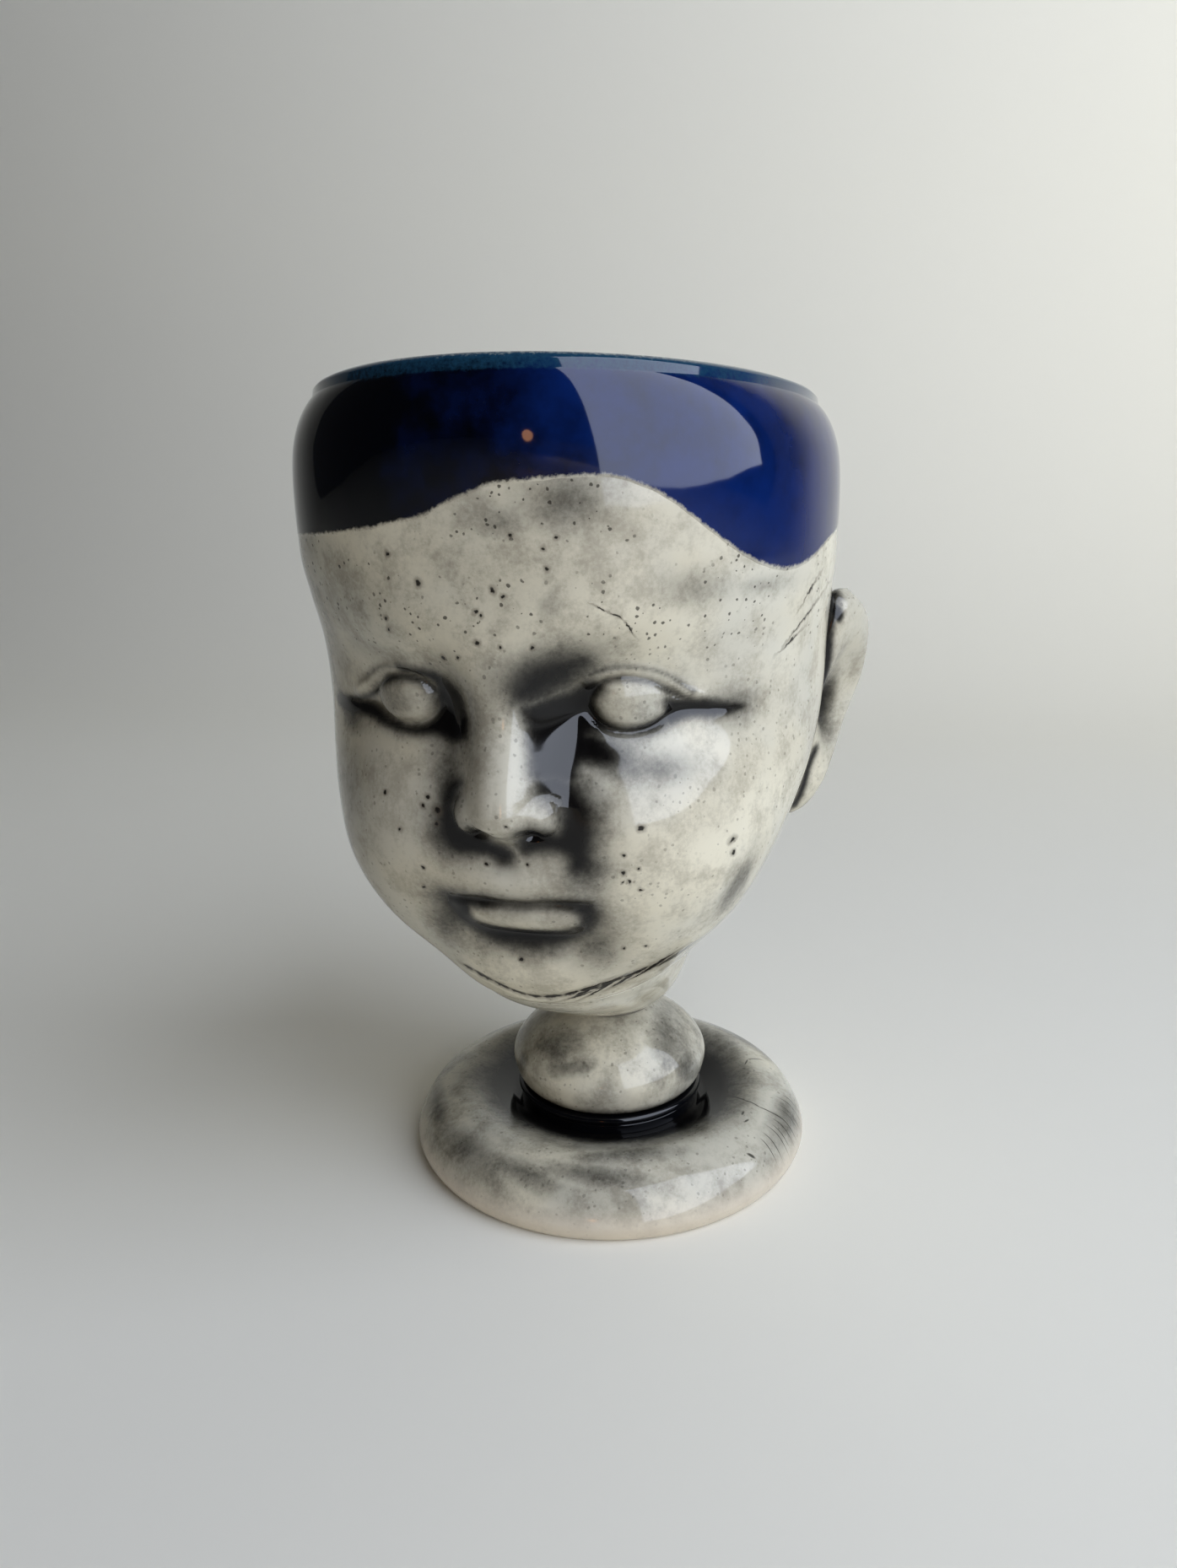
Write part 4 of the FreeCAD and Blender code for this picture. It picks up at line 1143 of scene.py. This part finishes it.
def foot_colour(tree, where):
    """Darker in the well round the collar, smears drawn out along the ring, and bare clay at the bottom."""
    place = add(tree, "SeparateXYZ", (where,), None).outputs
    flat = add(tree, "VectorMath", (where, (1, 1, 0)), operation="MULTIPLY")
    radius = add(tree, "VectorMath", (flat,), "Value", operation="LENGTH")
    behind = add(tree, "MapRange", (place["Y"], -30 * MM, -6 * MM, 0.35, 1.0), **eased)
    well = add(tree, "Math", (ring_mask(tree, radius, 22 * MM, 17 * MM), behind), operation="MULTIPLY")
    smears = nearest_mark(tree, where, foot_smears, seen_from="above")
    smoke = smeared(tree, where, smears, 6, 14, (-0.2, 2.1, 0.52, 0.0), (0.45, 0.7, 0.0, 0.12))
    smoke = add(tree, "Math", (well, smoke), operation="MAXIMUM")
    worn = wash_colour(tree, where, smoke, ring_mask(tree, radius, 20 * MM, 8 * MM))
    lines = nearest_mark(tree, where, foot_strokes, seen_from="above")
    for value, start, end, most, colour in (
        (lines, 0.5, 1.2, 0.85, "#1a1612"), (place["Z"], 2.5 * MM, 8.5 * MM, 0.75, "#d8ccb8"),
    ):
        amount = add(tree, "MapRange", (value, start, end, most, 0.0), **eased)
        worn = add(tree, "Mix", {"Factor": amount, "A": worn, "B": colour}, **of_colours)
    return worn


def stem_colour(tree, where):
    """Smears on the shoulder of the knob, and darker down at the collar."""
    height = add(tree, "SeparateXYZ", (where,), "Z")
    smears = nearest_mark(tree, where, stem_smears, 0.0, -15.0, 24.0)
    smoke = smeared(tree, where, smears, 4, 10, (-0.3, 2.1, 0.54, 0.0), (0.42, 0.7, 0.03, 0.24))
    return wash_colour(tree, where, smoke, ring_mask(tree, height, 12.5 * MM, 4.5 * MM))


washed_foot = glazed("clear_glaze_on_foot", foot_colour, 0.07, 0.05, 0.05)
washed_stem = glazed("clear_glaze_on_stem", stem_colour, 0.06, 0.05, 0.05)
print("foot finish:", len(washed_foot.node_tree.nodes), "nodes")

# %% [markdown]
# ## Foot, collar and stem
# The three profiles run from the axis out and round and back to the axis, so each piece is closed. The foot's
# surface rises from a blunt edge to a soft ring and dips to the well. The collar is a small bead in that
# well. The stem swells to its knob and narrows to the joint under the neck.

# %% Foot, collar and stem
stem_base, knob, shoulder, stem_end = 17.2, 21.2, 14.6, 32.4
seat_z, foot_seat, foot_flat, collar_outer = 10.0, 21.4, 41.0, 20.0
top_curve = rounded((
    (42.0, 0.0), (43.2, 1.8), (43.6, 4.2), (41.6, 8.4), (38.9, 10.9), (33.0, 13.2), (27.5, 12.0),
    (foot_seat, seat_z),
), 100)
foot_profile = [(0.0, 0.0), (20.0, 0.0), (foot_flat, 0.0)] + top_curve
foot_profile += [(foot_seat - 1, seat_z), (0.0, seat_z)]
domed_foot = thrown_piece("domed_foot", foot_profile, washed_foot, rows=160)

half_turn = np.linspace(-math.pi / 2, math.pi / 2, 16)
bead = [(19.7 + 0.9 * math.cos(a), 13.1 + 0.9 * math.sin(a)) for a in half_turn]
collar_profile = [(stem_base, seat_z), (collar_outer, seat_z), (collar_outer, 12.0)] + bead
collar_profile += [(18.4, 13.8), (stem_base, 13.4), (stem_base, seat_z)]
black_collar = thrown_piece("black_collar", collar_profile, black_gloss, rows=96)

side_curve = rounded((
    (stem_base, 13.2), (19.6, 14.8), (21.1, 17.6), (knob + 0.2, 21.6), (18.6, 26.0), (shoulder, 29.2),
    (stem_top_radius, stem_end),
), 90)
stem_profile = [(0.0, seat_z), (stem_base - 0.4, seat_z), (stem_base - 0.2, 13.0)] + side_curve
stem_profile += [(0.0, stem_end)]
turned_stem = thrown_piece("turned_stem", stem_profile, washed_stem, rows=140)
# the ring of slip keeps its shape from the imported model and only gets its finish
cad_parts["neck_joint"].data.materials.clear()
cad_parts["neck_joint"].data.materials.append(joint_slip)

# %% [markdown]
# ## Telling the frame what each piece stands for
# Every piece rides on the one body and takes the place of its CAD node.

# %% Pieces and nodes
for piece, node, finish in (
    (head_shell, "head_cup", "cream_glaze"), (cobalt_hair, "hair_glaze", "blue_glaze"),
    (cobalt_lining, "cup_lining", "blue_glaze"), (ear_left, "left_ear", "cream_glaze"),
    (ear_right, "right_ear", "cream_glaze"), (neck_funnel, "neck", "cream_glaze"),
    (turned_stem, "stem_knob", "cream_glaze"), (black_collar, "collar_ring", "black_glaze"),
    (domed_foot, "foot", "cream_glaze"),
):
    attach(piece, "root")
    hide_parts(node)
print("pieces placed")

# %% [markdown]
# ## Paper sweep
# The goblet stands on a sheet of pale matt paper that curves up behind it. A flat floor and a wall would show
# a line between them, so the sheet is one strip that bends through a quarter circle. Paper is warm white and
# has no shine, which lets the glaze be the only glossy thing in the picture.

# %% Paper sweep
paper = bpy.data.materials.new("pale_paper")
paper.use_nodes = True
paper_shader = paper.node_tree.nodes["Principled BSDF"].inputs
paper_shader["Base Color"].default_value = hex_colour("#f0ede1")
paper_shader["Roughness"].default_value = 0.9
bend_start, bend_radius, front_end, top_end, half_sweep = 0.42, 0.35, -1.6, 2.2, 2.0
arc = np.linspace(0.1, math.pi / 2, 20)
bend = [(bend_start + bend_radius * math.sin(a), bend_radius - bend_radius * math.cos(a)) for a in arc]
bend = [(front_end, 0.0), (bend_start, 0.0)] + bend + [(bend_start + bend_radius, top_end)]
sweep_points = [(x, y, z) for y, z in bend for x in (-half_sweep, half_sweep)]
sweep_mesh = bpy.data.meshes.new("paper_sweep")
sweep_faces = [(2 * k, 2 * k + 1, 2 * k + 3, 2 * k + 2) for k in range(len(bend) - 1)]
sweep_mesh.from_pydata(sweep_points, [], sweep_faces)
sweep_mesh.polygons.foreach_set("use_smooth", [True] * len(sweep_mesh.polygons))
sweep_mesh.materials.append(paper)
sweep = bpy.data.objects.new("paper_sweep", sweep_mesh)
bpy.context.collection.objects.link(sweep)
print("paper sweep:", len(sweep_mesh.polygons), "faces")

# %% [markdown]
# ## The window
# A tall window at the viewer's right lights the real goblet and shows as a clear four-cornered shape in the
# blue glaze. An area lamp would show as a plain oblong, so a glowing sheet with leaning corners stands there,
# out of the camera's sight. Daylight is a little blue. The sheet is brighter to mirror-like rays, because the
# sky behind the real window is far brighter than its light on a surface suggests.

# %% Window
glow = bpy.data.materials.new("daylight")
glow.use_nodes = True
glow_shader = glow.node_tree.nodes["Principled BSDF"].inputs
glow_shader["Base Color"].default_value = (0, 0, 0, 1)
glow_shader["Specular IOR Level"].default_value = 0.0
glow_shader["Emission Color"].default_value = hex_colour("#e6eeff")
mirror_extra, daylight_strength = 3.4, 3.25
mirrored = add(glow.node_tree, "LightPath", output="Is Glossy Ray")
strength = add(glow.node_tree, "Math", (mirrored, mirror_extra, daylight_strength), operation="MULTIPLY_ADD")
glow.node_tree.links.new(strength, glow_shader["Emission Strength"])


def window_pane(name, facing, distance, corners, material):
    """A sheet square to a direction in degrees from the front, with corners at (aside, up) in metres."""
    out = Vector((math.sin(math.radians(facing)), -math.cos(math.radians(facing)), 0))
    aside = Vector((math.cos(math.radians(facing)), math.sin(math.radians(facing)), 0))
    pane = bpy.data.meshes.new(name)
    points = [out * distance + aside * u + Vector((0, 0, z)) for u, z in corners]
    pane.from_pydata(points, [], [tuple(range(len(corners)))])
    pane.materials.append(material)
    holder = bpy.data.objects.new(name, pane)
    holder.visible_camera = False
    bpy.context.collection.objects.link(holder)
    return holder


window = window_pane("window", 64, 0.50, ((-0.363, 0.02), (0.363, 0.17), (0.40, 1.60), (-0.42, 1.40)), glow)
print("window: strength", daylight_strength, "as light and", mirror_extra + daylight_strength, "when mirrored")

# %% [markdown]
# ## Three weak lamps
# The window alone would leave the backdrop and the doll's right cheek too dark. One large soft lamp lights
# the backdrop and brushes the side of the head, and one fills the front. Both are hidden from glossy rays,
# because the real glaze mirrors no second window. A small warm lamp near the camera gives the one warm spot
# that is seen in the glaze.

# %% Lamps
def lamp(name, centre, target, size, watts, colour):
    """A lamp of one size in metres at a centre, turned to a target."""
    light = bpy.data.lights.new(name, "AREA")
    light.shape, light.size, light.size_y = "ELLIPSE" if size < 0.1 else "RECTANGLE", size, size
    light.energy, light.color = watts, hex_colour(colour)[:3]
    holder = bpy.data.objects.new(name, light)
    aim = (Vector(target) - Vector(centre)).to_track_quat("-Z", "Y")
    holder.matrix_world = Matrix.Translation(Vector(centre)) @ aim.to_matrix().to_4x4()
    bpy.context.collection.objects.link(holder)
    return holder


goblet_middle = (0, 0, 0.1)
side_light = lamp("side_light", (0.80, 0.05, 0.70), (0.12, 0.77, 0.40), 0.8, 3.7, "#f6f7f4")
side_light.data.spread = math.radians(110)
small_lamp = lamp("small_lamp", (0.03, -0.75, 0.10), goblet_middle, 0.055, 0.08, "#ffb070")
front_fill = lamp("front_fill", (0.35, -0.85, 0.20), goblet_middle, 0.5, 1.3, "#fff2e0")
side_light.visible_glossy = front_fill.visible_glossy = False
print("lamps:", {light.name: round(light.energy, 2) for light in bpy.data.lights}, "W")

# %% [markdown]
# ## A pale room seen past a dark one
# Past the paper's edge the camera should see a pale grey, so the world is brighter to camera rays alone. To
# every other ray it stays nearly dark: a pale world would lie as a grey film over the blue glaze, and in the
# photograph that blue mirrors an unlit room and is almost black beside the window.

# %% World
world = bpy.data.worlds.new("room")
world.use_nodes = True
background = world.node_tree.nodes["Background"].inputs
background["Color"].default_value = hex_colour("#ccd0d8")
seen_extra, room_light = 0.6, 0.045
seen = add(world.node_tree, "LightPath", output="Is Camera Ray")
room = add(world.node_tree, "Math", (seen, seen_extra, room_light), operation="MULTIPLY_ADD")
world.node_tree.links.new(room, background["Strength"])
bpy.context.scene.world = world
print("world:", room_light, "as light and", seen_extra + room_light, "to the camera")
